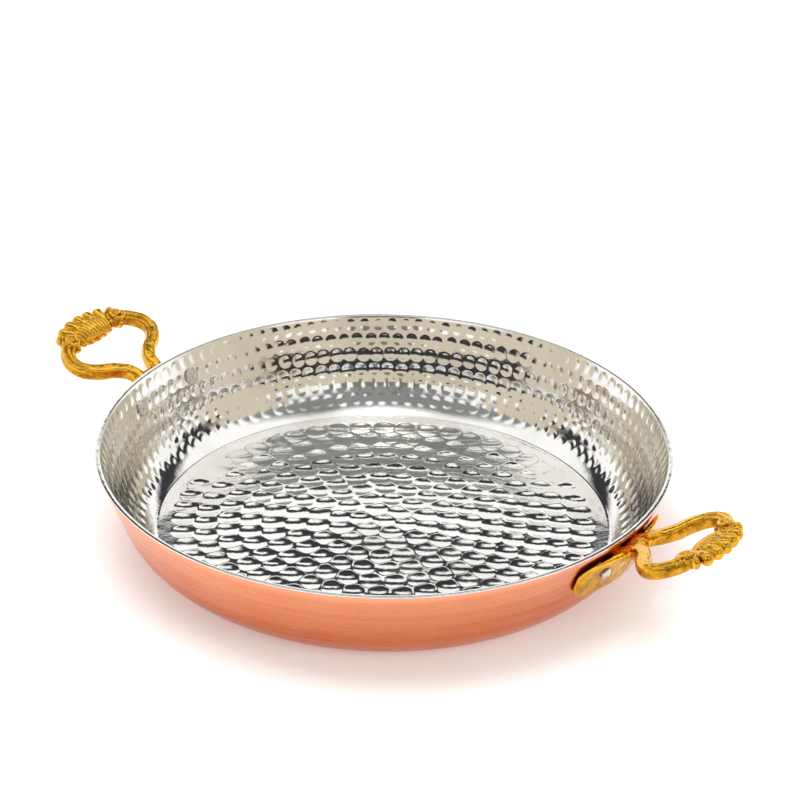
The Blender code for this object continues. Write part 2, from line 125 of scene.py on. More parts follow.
class HammerSizes(bpy.types.PropertyGroup):
    """Sizes of the hammer marks on wall and floor."""

    first_row: length("First row", "Distance of the first row from the rim, along the wall", 0.0041)
    row_pitch: length("Row pitch", "Distance between rows on the wall", 0.00725)
    rows: count("Rows", "How many rows the wall has", 6)
    wall_pitch: length("Wall mark pitch", "Distance between the marks of a row", 0.00645)
    wall_radius: length("Wall mark radius", "Radius of a mark on the wall", 0.0030)
    wall_depth: length("Wall mark depth", "Depth of a mark on the wall", 0.00024)
    ring_pitch: length("Ring pitch", "Distance between the rings on the floor", 0.0101)
    rings: count("Rings", "How many rings of marks the floor has", 10)
    floor_pitch: length("Floor mark pitch", "Distance between the marks of a ring", 0.0107)
    floor_radius: length("Floor mark radius", "Radius of a mark on the floor", 0.0058)
    floor_depth: length("Floor mark depth", "Depth of a mark on the floor", 0.00038)
    scatter: share("Scatter", "How far a mark may lie from its place, as a share of its radius", 0.11)
    depth_spread: share("Depth spread", "How much the marks differ in depth", 0.30)
    show_through: share("Show through", "Share of a mark's depth that shows on the outside", 0.25)
    seed: IntProperty(name="Seed", description="Changes how the marks are scattered", default=7)


class HandleSizes(bpy.types.PropertyGroup):
    """Sizes of the cast handles."""

    plate_length: length("Plate length", "Length of the plate round the wall", 0.0670)
    plate_top: length("Plate top", "Top edge of the plate, down the wall", 0.0045)
    plate_bottom: length("Plate bottom", "Bottom edge of the plate, down the wall", 0.0240)
    plate_thickness: length("Plate thickness", "Thickness of the plate at its middle", 0.0046)
    plate_end: length("Plate end thickness", "Thickness of the plate at its ends", 0.0020)
    corner_radius: length("Plate corner radius", "Radius of the plate's corners", 0.0085)
    top_relief: length("Top relief", "How far the back of the plate's top edge stands off the wall", 0.0022)
    end_relief: length("End relief", "How far the plate's ends stand off the wall", 0.0006)
    loop_rise: angle("Loop rise", "Slope of the loop", 19.0)
    loop_drop: length("Loop drop", "How far below the rim the loop's plane starts", 0.0065)
    loop_reach: length("Loop reach", "From the rim to the loop's outer middle", 0.0425)
    loop_half_width: length("Loop half width", "From the middle to the bar at the widest place", 0.0268)
    neck_half_width: length("Neck half width", "From the middle to a leg at the neck", 0.0070)
    root_drop: length("Leg root drop", "How far down the wall a leg starts", 0.0105)
    bar_width: length("Bar width", "Width of the fluted bar", 0.0066)
    bar_height: length("Bar height", "Height of the fluted bar", 0.0070)
    flute_depth: length("Flute depth", "Depth of the two flutes on the bar", 0.0013)
    shell_width: length("Shell width", "Width of the shell across the loop", 0.0312)
    shell_outer: length("Shell outer reach", "From the loop's line to the shell's outer edge", 0.00915)
    shell_inner: length("Shell inner reach", "From the loop's line to the shell's inner edge", 0.0084)
    lobes: count("Shell lobes", "How many lobes the shell has", 5)
    fan_radius: length("Fan radius", "Radius of the arc on which the outer beads lie", 0.0420)
    bead_radius: length("Bead radius", "Radius of the bead at a lobe's outer end", 0.0030)
    bead_height: length("Bead height", "Height of the bead at a lobe's outer end", 0.0066)
    inner_bead_radius: length("Inner bead radius", "Radius of the bead at a lobe's inner end", 0.0016)
    inner_bead_height: length("Inner bead height", "Height of the bead at a lobe's inner end", 0.0032)
    hump_length: length("Hump length", "Length of the shell's hump, across the bar", 0.0134)
    hump_top: length("Hump top", "Top of the shell's hump over the loop's plane", 0.0031)
    ribs: count("Shell ribs", "How many fine ribs run over the shell", 11)
    rib_radius: length("Shell rib radius", "Radius of a fine rib", 0.00105)
    rib_proud: length("Shell rib height", "How far a fine rib stands off the hump", 0.0004)
    knob_radius: length("Knob radius", "Radius of the knob beyond a scroll", 0.0021)
    scroll_radius: length("Scroll radius", "Radius of a scroll beside the shell", 0.0046)
    scroll_height: length("Scroll height", "Height of a scroll over the loop's plane", 0.0030)
    wire_radius: length("Scroll wire radius", "Radius of the wire of a scroll", 0.00105)
    eye_radius: length("Scroll eye radius", "Radius of the ball in the middle of a scroll", 0.0014)
    ridge_radius: length("Ridge radius", "Radius of the ridge on the plate's top edge", 0.0010)
    web_height: length("Web height", "Height of the web between the legs", 0.0084)
    voxel: length("Grain", "Size of the cells that melt the pieces into one casting", 0.00027)
    unevenness: length("Unevenness", "How uneven the cast skin is", 0.00012)


class RivetSizes(bpy.types.PropertyGroup):
    """Sizes of the rivets."""

    half_angle: angle("Half angle", "Half the angle between the two rivets of a handle", 9.0)
    shift: angle("Shift", "How far round the rim their middle lies from the handle's", 1.1)
    drop: length("Rivet drop", "Distance of the rivets from the rim, down the wall", 0.0120)
    shank_radius: length("Shank radius", "Radius of a rivet's shank", 0.00225)
    outer_radius: length("Outer head radius", "Radius of the domed outer head", 0.0028)
    outer_height: length("Outer head height", "Height of the domed outer head", 0.0013)
    inner_radius: length("Inner head radius", "Radius of the flat inner head", 0.0039)
    inner_height: length("Inner head height", "Height of the flat inner head", 0.0009)
    inner_seat: length("Inner seat", "From the outer skin inwards to the inner head", 0.0025)


class Finishes(bpy.types.PropertyGroup):
    """Colours of the metals."""

    copper: colour("Copper", "Bright copper", (0.86, 0.36, 0.20))
    # Deep copper is also painted shade: the wall is painted darker towards the base
    copper_deep_and_shade: colour("Deep copper", "Copper where it is darker", (0.66, 0.165, 0.055))
    tin: colour("Tin", "Bright tin", (0.86, 0.85, 0.82))
    tin_dull: colour("Dull tin", "Tin where it is worn or smeared", (0.66, 0.64, 0.60))
    brass: colour("Brass", "Bright brass", (0.88, 0.48, 0.044))
    # Deep brass also serves as painted shade on the handles' sides, beside the patina in grooves
    brass_deep_and_shade: colour("Deep brass", "Brass in its hollows", (0.30, 0.10, 0.006))
    rivet: colour("Rivet", "Metal of the rivets", (0.70, 0.67, 0.64))


class StudioSettings(bpy.types.PropertyGroup):
    """Camera, light and floor."""

    azimuth: angle("Azimuth", "Turn of the camera about the pan", 34.1)
    elevation: angle("Elevation", "Height of the camera's line of sight", 29.355)
    distance: length("Distance", "From the camera to the middle of the rim", 1.6386)
    lens: FloatProperty(name="Lens", description="Focal length of the camera", default=163.72, unit="CAMERA")
    aim_right: angle("Aim right", "Sideways turn of the camera from the pan's middle", -0.2332)
    aim_up: angle("Aim up", "How far the camera looks above the pan's middle", 0.7227)
    roll: angle("Roll", "Turn of the camera about its line of sight", -0.8781)
    floor_colour: colour("Floor", "Colour of the floor", (0.86, 0.86, 0.86))
    floor_glow: share("Floor glow", "Light of the floor where camera and metal see it", 0.30)
    white: colour("White", "Tone of the table and the light overhead, as mirrored", (1.15, 1.15, 1.15))
    room: colour("Room", "Tone of the room round the camera, as mirrored", (0.72, 0.65, 0.53))
    dark: colour("Dark", "Tone of what is dark in the room, as mirrored", (0.045, 0.045, 0.052))
    ceiling: colour("Ceiling", "Tone of the ceiling over the camera, as mirrored", (0.30, 0.315, 0.32))
    overhead: colour("Overhead", "Tone of the lamp right overhead, as mirrored", (2.2, 2.2, 2.1))
    soft_light: number("Soft light", "Power of the light above the pan", 16.0)
    side_light: number("Side light", "Power of the light beside the camera", 5.0)


def settings():
    return bpy.context.scene.frying_pan


class FryingPanSettings(bpy.types.PropertyGroup):
    """All settings of the pan and its studio."""

    pan: PointerProperty(type=PanSizes)
    hammer: PointerProperty(type=HammerSizes)
    handle: PointerProperty(type=HandleSizes)
    rivet: PointerProperty(type=RivetSizes)
    finish: PointerProperty(type=Finishes)
    studio: PointerProperty(type=StudioSettings)


# Node trees

class Signal:
    """One output of a node. A sum or product on it adds Math nodes to its tree."""

    def __init__(self, maker, node, socket):
        self.maker = maker
        self.node = node
        self.socket = socket

    def output(self, name):
        return Signal(self.maker, self.node, self.node.outputs[name])

    def maths(self, operation, *values):
        return self.maker.node("ShaderNodeMath", {"operation": operation}, dict(enumerate(values)))

    def __add__(self, other):
        return self.maths("ADD", self, other)

    def __sub__(self, other):
        return self.maths("SUBTRACT", self, other)

    def __rsub__(self, other):
        return self.maths("SUBTRACT", other, self)

    def __mul__(self, other):
        return self.maths("MULTIPLY", self, other)

    def __truediv__(self, other):
        return self.maths("DIVIDE", self, other)

    def __pow__(self, other):
        return self.maths("POWER", self, other)

    def clamped(self):
        return self.maths("MINIMUM", self.maths("MAXIMUM", self, 0.0), 1.0)

    __radd__ = __add__
    __rmul__ = __mul__


class Maker:
    """Adds nodes to one shader or geometry tree."""

    def __init__(self, tree):
        self.tree = tree

    def node(self, kind, choices=None, sockets=None, output=0):
        """A new node with its choices set, and then its sockets filled or linked."""
        node = self.tree.nodes.new(kind)
        for key, value in (choices or {}).items():
            if key == "stops":
                self.fill_ramp(node.color_ramp, value)
            else:
                setattr(node, key, value)
        for key, value in (sockets or {}).items():
            if isinstance(value, Signal):
                self.tree.links.new(value.socket, node.inputs[key])
            else:
                node.inputs[key].default_value = value
        return Signal(self, node, node.outputs[output] if node.outputs else None)

    def fill_ramp(self, ramp, stops):
        while len(ramp.elements) > 1:
            ramp.elements.remove(ramp.elements[-1])
        for index, (place, tone) in enumerate(stops):
            element = ramp.elements[0] if index == 0 else ramp.elements.new(place)
            element.position = place
            element.color = (*tone, 1.0)

    def blend(self, factor, first, second):
        """A colour between two others."""
        colours = {"Factor": factor, 6: self.opaque(first), 7: self.opaque(second)}
        return self.node("ShaderNodeMix", {"data_type": "RGBA"}, colours, output=2)

    def opaque(self, value):
        return value if isinstance(value, Signal) else (*value[:3], 1.0)

    def vector(self, operation, *values, output=0):
        return self.node("ShaderNodeVectorMath", {"operation": operation}, dict(enumerate(values)), output)

    def scaled(self, vector, factor):
        return self.node("ShaderNodeVectorMath", {"operation": "SCALE"}, {0: vector, "Scale": factor})

    def noise(self, place, scale, detail=2.0):
        return self.node("ShaderNodeTexNoise", None, {"Vector": place, "Scale": scale, "Detail": detail})

    def stretch(self, value, low, high):
        """The value's range from low to high, spread over 0 to 1."""
        return self.node("ShaderNodeMapRange", None, {"Value": value, "From Min": low, "From Max": high})


# Metals

def new_metal(name, base, roughness, bumps):
    """A metal whose colour, roughness and normal are made by functions of its maker and its place."""
    material = bpy.data.materials.new(name)
    material.use_nodes = True
    make = Maker(material.node_tree)
    place = make.node("ShaderNodeTexCoord").output("Object")
    shader = material.node_tree.nodes["Principled BSDF"]
    shader.inputs["Metallic"].default_value = 1.0
    for value, socket in ((base, "Base Color"), (roughness, "Roughness"), (bumps, "Normal")):
        material.node_tree.links.new(value(make, place).socket, shader.inputs[socket])
    return material


def streaked(make, place, round_scale, up_scale, detail):
    """Noise in streaks round the pan: fine up the wall, long along the rim."""
    return make.noise(make.vector("MULTIPLY", (round_scale, round_scale, up_scale), place), 1.0, detail)


def bump(make, height, depth):
    return make.node("ShaderNodeBump", None, {"Strength": 1.0, "Distance": depth, "Height": height})


def copper_metal(name):
    """Brushed copper, with streaks and soft clouds, and painted shade that darkens it towards the base."""
    tones = settings().finish
    top = settings().pan.height
    streak_share, cloud_share = 0.8, 0.5
    least_rough, rough_spread = 0.20, 0.16
    bump_depth = 0.00006

    def base(make, place):
        level = make.node("ShaderNodeSeparateXYZ", None, {0: place}).output("Z") / top
        streaks = streaked(make, place, 6.0, 420.0, 3.0)
        clouds = make.noise(place, 45.0)
        # Painted shade: darker towards the base, on top of the random streaks and clouds
        deep = (1.0 - level) + (streaks - 0.5) * streak_share + (clouds - 0.5) * cloud_share
        return make.blend(deep.clamped(), tones.copper, tones.copper_deep_and_shade)

    def roughness(make, place):
        return streaked(make, place, 9.0, 600.0, 2.0) * rough_spread + least_rough

    def bumps(make, place):
        streaks = streaked(make, place, 10.0, 900.0, 3.0)
        return bump(make, streaks * 0.5 + make.noise(place, 120.0), bump_depth)

    return new_metal(name, base, roughness, bumps)


def tin_metal(name):
    """Bright wiped tin, with dull smears, fine specks and a slight ripple."""
    tones = settings().finish
    smear_share, speck_share = 0.6, 0.25
    least_rough, rough_spread = 0.035, 0.06
    bump_depth = 0.00005

    def base(make, place):
        smears = make.noise(place, 26.0, 3.0)
        specks = make.noise(place, 260.0)
        dull = make.stretch(smears, 0.48, 0.72) * smear_share + (specks - 0.5) * speck_share
        return make.blend(dull.clamped(), tones.tin, tones.tin_dull)

    def roughness(make, place):
        return make.stretch(make.noise(place, 40.0, 3.0), 0.35, 0.75) * rough_spread + least_rough

    def bumps(make, place):
        ripple = make.noise(place, 180.0)
        grain = make.noise(place, 900.0)
        return bump(make, ripple + grain * 0.25, bump_depth)

    return new_metal(name, base, roughness, bumps)


def hollows_and_shade(make):
    """How dark the casting is here: its patina in grooves, with painted shade on its sides and painted light
    at its neck, as stored on its points.
    """
    return make.node("ShaderNodeAttribute", {"attribute_name": "hollow"}).output("Fac")


def brass_metal(name):
    """Cast brass, rubbed bright on its ridges, stained and deep with patina in its grooves, painted darker on
    its sides as painted shade and lighter at its neck as painted light, and finely pitted.
    """
    tones = settings().finish
    bright_level, hollow_and_shade_share, stain_share = 0.30, 1.35, 1.7
    least_rough, rough_spread, hollow_rough = 0.05, 0.14, 0.14
    bump_depth = 0.00025

    def base(make, place):
        stain = make.noise(place, 240.0, 3.0)
        # Patina in grooves, painted shade on the sides and painted light at the neck all come in here
        deep = (hollows_and_shade(make) - bright_level) * hollow_and_shade_share + (stain - 0.5) * stain_share
        return make.blend(deep.clamped(), tones.brass, tones.brass_deep_and_shade)

    def roughness(make, place):
        return make.noise(place, 300.0) * rough_spread + hollows_and_shade(make) * hollow_rough + least_rough

    def bumps(make, place):
        pits = make.noise(place, 420.0, 3.0)
        grain = make.noise(place, 1500.0)
        return bump(make, pits + grain * 0.3, bump_depth)

    return new_metal(name, base, roughness, bumps)


def rivet_metal(name):
    """The rivets' pale metal, stained and beaten."""
    tones = settings().finish
    worn_share = 0.55
    least_rough, rough_spread = 0.22, 0.25
    bump_depth = 0.0001

    def base(make, place):
        stain = make.noise(place, 700.0, 3.0)
        worn = tuple(value * worn_share for value in tones.rivet)
        return make.blend(make.stretch(stain, 0.5, 0.75), tones.rivet, worn)

    def roughness(make, place):
        return make.noise(place, 500.0) * rough_spread + least_rough

    def bumps(make, place):
        return bump(make, make.noise(place, 600.0, 3.0), bump_depth)

    return new_metal(name, base, roughness, bumps)


METALS = {
    "copper": ("brushed_copper", copper_metal),
    "tin": ("bright_tin", tin_metal),
    "brass": ("cast_brass", brass_metal),
    "rivet_metal": ("rivet_steel", rivet_metal),
}


def metal(slot):
    """The material of one of the record's slots, made once."""
    name, new = METALS[slot]
    return bpy.data.materials.get(name) or new(name)


# Mesh helpers

def new_object(name, mesh):
    obj = bpy.data.objects.new(name, mesh)
    bpy.context.scene.collection.objects.link(obj)
    return obj


def finish_piece(obj, slot, nodes):
    """Gives a piece the material of its slot and its body, and hides the CAD nodes that it stands for."""
    obj.data.materials.clear()
    obj.data.materials.append(metal(slot))
    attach(obj, BODY)
    if nodes:
        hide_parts(*nodes)
    return obj


def shade_round(mesh, sharp_from=40.0):
    mesh.shade_smooth()
    mesh.set_sharp_from_angle(angle=math.radians(sharp_from))


def object_from(name, shape):
    """A new object from a bmesh, which is freed."""
    mesh = bpy.data.meshes.new(name)
    shape.to_mesh(mesh)
    shape.free()
    return new_object(name, mesh)


def evaluated_mesh(obj):
    bpy.context.view_layer.update()
    return bpy.data.meshes.new_from_object(obj.evaluated_get(bpy.context.evaluated_depsgraph_get()))


def applied(obj):
    """The object with its modifiers applied to its mesh and removed."""
    mesh = evaluated_mesh(obj)
    obj.modifiers.clear()
    obj.data = mesh
    return obj


def vertex_places(mesh):
    places = np.empty(len(mesh.vertices) * 3)
    mesh.vertices.foreach_get("co", places)
    return places.reshape(-1, 3)


def vertex_normals(mesh):
    normals = np.empty(len(mesh.vertices) * 3)
    mesh.vertex_normals.foreach_get("vector", normals)
    return normals.reshape(-1, 3)


def move_vertices(mesh, places):
    mesh.vertices.foreach_set("co", places.ravel())
    mesh.update()


def store_levels(mesh, name, levels):
    """Stores a number for each point of a mesh."""
    mesh.attributes.new(name, "FLOAT", "POINT").data.foreach_set("value", levels)


def turned_mesh(name, profile, segments, worked):
    """A solid turned about Z. The profile is closed if it has no point on the axis.

    worked holds, for each point of the profile, how much the hammer marks show there.
    """
    closed = profile[0][0] > MERGE_DISTANCE
    rings = profile if closed else profile[1:-1]
    ring_worked = worked if closed else worked[1:-1]
    angles = np.arange(segments) * FULL_TURN / segments
    radii = np.array([radius for radius, _ in rings])
    heights = np.array([height for _, height in rings])
    x = np.outer(radii, np.cos(angles))
    y = np.outer(radii, np.sin(angles))
    z = np.repeat(heights[:, None], segments, axis=1)
    verts = np.stack([x, y, z], axis=-1).reshape(-1, 3).tolist()
    levels = np.repeat(np.array(ring_worked)[:, None], segments, axis=1).ravel().tolist()
    first = np.arange(len(rings) if closed else len(rings) - 1)
    second = (first + 1) % len(rings)
    here = np.arange(segments)
    after = (here + 1) % segments
    faces = []
    for a, b in zip(first, second):
        quads = (a * segments + here, b * segments + here, b * segments + after, a * segments + after)
        faces += np.stack(quads, axis=-1).tolist()
    if not closed:
        verts += [(0.0, 0.0, profile[0][1]), (0.0, 0.0, profile[-1][1])]
        levels += [worked[0], worked[-1]]
        top = len(verts) - 2
        bottom = len(verts) - 1
        last = (len(rings) - 1) * segments
        faces += [(top, int(i), int(j)) for i, j in zip(here, after)]
        faces += [(int(last + i), bottom, int(last + j)) for i, j in zip(here, after)]
    mesh = bpy.data.meshes.new(name)
    mesh.from_pydata(verts, [], faces)
    store_levels(mesh, "worked", levels)
    mesh.update()
    return mesh


def arc(centre, radius, start, end, steps):
    angles = [start + (end - start) * i / steps for i in range(steps + 1)]
    return [(centre[0] + radius * math.cos(a), centre[1] + radius * math.sin(a)) for a in angles]


def reach_along(line):
    """How far along the line each of its points lies."""
    return np.concatenate([[0.0], np.cumsum(np.linalg.norm(np.diff(line, axis=0), axis=1))])


def evenly(points, spacing):
    """Points along the same line at about this spacing, its ends kept."""
    line = np.array(points)
    reach = reach_along(line)
    steps = max(1, round(reach[-1] / spacing))
    wanted = np.linspace(0.0, reach[-1], steps + 1)
    return list(zip(np.interp(wanted, reach, line[:, 0]), np.interp(wanted, reach, line[:, 1])))


def point_along(points, distance):
    line = np.array(points)
    reach = reach_along(line)
    return float(np.interp(distance, reach, line[:, 0])), float(np.interp(distance, reach, line[:, 1]))


# The pan's skin

ARC_STEPS = 60


def wall_point(pan, drop, proud):
    """Radius and height of a point this far down the wall, and this far outside the outer skin."""
    radius = pan.rim_radius - drop * math.sin(pan.slant) + proud * math.cos(pan.slant)
    height = pan.height - drop * math.cos(pan.slant) - proud * math.sin(pan.slant)
    return radius, height


def drop_at_height(pan, height, proud):
    """How far down the wall a line this far outside the outer skin reaches this height."""
    return (pan.height - height - proud * math.sin(pan.slant)) / math.cos(pan.slant)


def heel(pan, depth):
    """The skin this deep inside the outer one, from the foot of the straight wall to the base's edge."""
    heel_z = pan.heel_radius * math.cos(pan.base_break)
    wall_end = drop_at_height(pan, heel_z - pan.heel_radius * math.sin(pan.slant), 0.0)
    heel_x, _ = wall_point(pan, wall_end, -pan.heel_radius)
    reach = pan.heel_radius - pan.knuckle_radius
    knuckle_x = heel_x + math.sqrt(reach**2 - (heel_z - pan.knuckle_radius) ** 2)
    meeting = math.atan2(pan.knuckle_radius - heel_z, knuckle_x - heel_x)
    points = arc((heel_x, heel_z), pan.heel_radius - depth, -pan.slant, meeting, ARC_STEPS)
    knuckle = (knuckle_x, pan.knuckle_radius)
    return points + arc(knuckle, pan.knuckle_radius - depth, meeting, -SQUARE_TURN, ARC_STEPS)[1:]


def base(pan, depth):
    """The base's skin this deep inside the outer one, from the dome's edge to the axis."""
    points = []
    for i in range(ARC_STEPS + 1):
        part = i / ARC_STEPS
        rise = pan.dome_rise * (1.0 - math.cos(HALF_TURN * part)) / 2.0
        points.append((pan.dome_radius * (1.0 - part), depth + rise))
    return points


def tin_depths(pan):
    outer = pan.copper + pan.gap
    return outer, outer + pan.tin


def inner_wall(pan):
    """The tin's inner skin from the top of the rim to the base's edge. Its straight wall bulges slightly."""
    _, depth = tin_depths(pan)
    below = heel(pan, depth)
    top = drop_at_height(pan, pan.height, -depth)
    foot = drop_at_height(pan, below[0][1], -depth)
    wall = []
    for i in range(ARC_STEPS):
        part = i / ARC_STEPS
        crown = pan.wall_crown * 4.0 * part * (1.0 - part)
        wall.append(wall_point(pan, top + (foot - top) * part, -depth - crown))
    return wall + below


# Hammer marks

ROW_TURN = 0.5
RING_TURN = 0.37
WALL_SOFTNESS = 1.0
FLOOR_SOFTNESS = 1.1
COPPER_SOFTNESS = 2.0


def mark_cloud(pan, hammer):
    """A mesh with one point for each hammer mark, in rows on the wall and rings on the floor."""
    wall = inner_wall(pan)
    _, depth = tin_depths(pan)
    floor = [wall[-1]] + base(pan, depth)
    places, radii, depths = [], [], []

    def ring(radius, height, pitch, mark_radius, mark_depth, turn):
        marks = max(1, round(FULL_TURN * radius / pitch))
        for i in range(marks):
            a = FULL_TURN * (i + turn) / marks
            places.append((radius * math.cos(a), radius * math.sin(a), height))
            radii.append(mark_radius)
            depths.append(mark_depth)

    for row in range(hammer.rows):
        radius, height = point_along(wall, hammer.first_row + row * hammer.row_pitch)
        ring(radius, height, hammer.wall_pitch, hammer.wall_radius, hammer.wall_depth, row * ROW_TURN)
    outwards = np.array(floor[::-1])
    for step in range(hammer.rings):
        radius = step * hammer.ring_pitch
        height = float(np.interp(radius, outwards[:, 0], outwards[:, 1]))
        ring(radius, height, hammer.floor_pitch, hammer.floor_radius, hammer.floor_depth, step * RING_TURN)
    mesh = bpy.data.meshes.new("hammer_marks")
    mesh.from_pydata(places, [], [])
    store_levels(mesh, "mark_radius", radii)
    store_levels(mesh, "mark_depth", depths)
    return new_object("hammer_marks", mesh)


def new_tree(name, inputs):
    """A geometry tree with these inputs, its maker, and the node that gives them."""
    tree = bpy.data.node_groups.new(name, "GeometryNodeTree")
    for label, kind in inputs.items():
        tree.interface.new_socket(name=label, in_out="INPUT", socket_type=kind)
    tree.interface.new_socket(name="Geometry", in_out="OUTPUT", socket_type="NodeSocketGeometry")
    make = Maker(tree)
    return tree, make, make.node("NodeGroupInput")


def end_tree(make, geometry, material):
    """Ends a geometry tree with plain geometry of this material."""
    real = make.node("GeometryNodeRealizeInstances", None, {"Geometry": geometry})
    done = make.node("GeometryNodeSetMaterial", None, {"Geometry": real, "Material": material})
    make.node("NodeGroupOutput", None, {"Geometry": done})


def hammer_tree():
    """Geometry nodes that press a shallow cup into a skin round each mark point."""
    inputs = {
        "Geometry": "NodeSocketGeometry",
        "Marks": "NodeSocketObject",
        "Press": "NodeSocketFloat",
        "Softness": "NodeSocketFloat",
        "Scatter": "NodeSocketFloat",
        "Depth Spread": "NodeSocketFloat",
        "Seed": "NodeSocketInt",
        "Material": "NodeSocketMaterial",
    }
    tree, make, given = new_tree("hammer_marks", inputs)
    seed = given.output("Seed")
    spread = given.output("Depth Spread")

    def attribute(name):
        return make.node("GeometryNodeInputNamedAttribute", {"data_type": "FLOAT"}, {"Name": name})

    marks = make.node("GeometryNodeObjectInfo", None, {"Object": given.output("Marks")}).output("Geometry")
    aside = make.node(
        "FunctionNodeRandomValue",
        {"data_type": "FLOAT_VECTOR"},
        {0: (-1.0, -1.0, -1.0), 1: (1.0, 1.0, 1.0), "Seed": seed},
    )
    reach = given.output("Scatter") * attribute("mark_radius")
    offset = make.scaled(aside, reach)
    marks = make.node("GeometryNodeSetPosition", None, {"Geometry": marks, "Offset": offset})
    position = make.node("GeometryNodeInputPosition")
    nearest = make.node("GeometryNodeSampleNearest", None, {"Geometry": marks, "Sample Position": position})

    def sampled(value, kind):
        sockets = {"Geometry": marks, "Value": value, "Index": nearest}
        return make.node("GeometryNodeSampleIndex", {"data_type": kind}, sockets)

    mark_place = sampled(make.node("GeometryNodeInputPosition"), "FLOAT_VECTOR")
    mark_radius = sampled(attribute("mark_radius"), "FLOAT")
    mark_depth = sampled(attribute("mark_depth"), "FLOAT")
    strength = make.node(
        "FunctionNodeRandomValue",
        {"data_type": "FLOAT"},
        {2: 1 - spread, 3: 1 + spread, "ID": nearest, "Seed": seed + 1},
        output=1,
    )
    distance = make.vector("DISTANCE", position, mark_place, output=1)
    inside = (1 - (distance / mark_radius) ** 2).clamped() ** given.output("Softness")
    depth = inside * mark_depth * strength * attribute("worked") * given.output("Press")
    push = make.scaled(make.node("GeometryNodeInputNormal"), 0 - depth)
    skin = make.node("GeometryNodeSetPosition", None, {"Geometry": given.output("Geometry"), "Offset": push})
    end_tree(make, skin, given.output("Material"))
    return tree


def run_tree(obj, tree, values):
    """Runs a geometry tree on an object, its inputs set by identifier, and keeps the plain result."""
    modifier = obj.modifiers.new(tree.name, "NODES")
    modifier.node_group = tree
    sockets = {item.name: item.identifier for item in tree.interface.items_tree if item.in_out == "INPUT"}
    for name, value in values.items():
        modifier[sockets[name]] = value
    return applied(obj)


def hammered(obj, slot, press, softness):
    """Presses the marks into a piece. A press below zero raises them instead."""
    hammer = settings().hammer
    marks = bpy.data.objects.get("hammer_marks") or mark_cloud(settings().pan, hammer)
    tree = bpy.data.node_groups.get("hammer_marks") or hammer_tree()
    values = {
        "Marks": marks,
        "Press": press,
        "Softness": softness,
        "Scatter": hammer.scatter,
        "Depth Spread": hammer.depth_spread,
        "Seed": hammer.seed,
        "Material": metal(slot),
    }
    run_tree(obj, tree, values)
    shade_round(obj.data)
    return obj


# Tin coat

FINE_STEP = 0.0008
FINER_STEP = 0.00058
COARSE_STEP = 0.006
HIDDEN_STEP = 0.016
SEAM_STEP = 0.00005
WALL_SEGMENTS = 1000
TIN_SEGMENTS = 1400
DISC_RINGS = 170
DISC_SIDES = 6
UPPER_WALL = 0.0295


def shown(points):
    return points, [1.0] * len(points)


def hidden(points):
    return points, [0.0] * len(points)


def joined(*stretches):
    """One profile and its worked levels from several stretches."""
    points, levels = [], []
    for stretch, worked in stretches:
        points += stretch
        levels += worked
    return points, levels


def split(points, distance):
    """A line cut in two at this distance along it, with a point close to the cut on each side."""
    reach = reach_along(points)
    cut = point_along(points, distance)
    before = [point for point, far in zip(points, reach) if far < distance - SEAM_STEP]
    after = [point for point, far in zip(points, reach) if far > distance + SEAM_STEP]
    before += [point_along(points, distance - SEAM_STEP), cut]
    return before, [cut, point_along(points, distance + SEAM_STEP)] + after


def with_seam(skin):
    """The line with one more point close before its end, where the next piece starts."""
    radius, height = skin[-1]
    return skin[:-1] + [(radius + SEAM_STEP, height), skin[-1]]


def tin_upper_wall(pan):
    """The upper wall of tin with its lip over the rim, and its back beside the copper."""
    outer, _ = tin_depths(pan)
    rounding = pan.lip_rounding
    wall = inner_wall(pan)
    edge = wall[0]
    skin, _ = split(wall, UPPER_WALL)
    skin = evenly(skin[:-1], FINER_STEP)[1:] + [skin[-1]]
    top = arc((edge[0] + rounding, pan.height - rounding), rounding, HALF_TURN, SQUARE_TURN, 4)
    top += arc((pan.rim_radius - rounding, pan.height - rounding), rounding, SQUARE_TURN, 0.0, 4)
    lip_bottom = pan.height - pan.tin
    back = [wall_point(pan, drop_at_height(pan, lip_bottom, -outer), -outer)]
    back += evenly(split(back + heel(pan, outer), UPPER_WALL)[0], COARSE_STEP)[1:]
    hidden_side = top + [(pan.rim_radius, lip_bottom)] + back
    points, worked = joined(hidden(hidden_side), shown(skin[::-1]))
    return turned_mesh("tin_upper_wall", points, TIN_SEGMENTS, worked)


def tin_lower_wall(pan):
    outer, _ = tin_depths(pan)
    _, skin = split(inner_wall(pan), UPPER_WALL)
    skin = with_seam([skin[0]] + evenly(skin[1:], FINER_STEP))
    lip_bottom = pan.height - pan.tin
    back = [wall_point(pan, drop_at_height(pan, lip_bottom, -outer), -outer)] + heel(pan, outer)
    back = evenly(split(back, UPPER_WALL)[1], COARSE_STEP)
    points, worked = joined(hidden(back), shown(skin[::-1]))
    return turned_mesh("tin_lower_wall", points, TIN_SEGMENTS, worked)


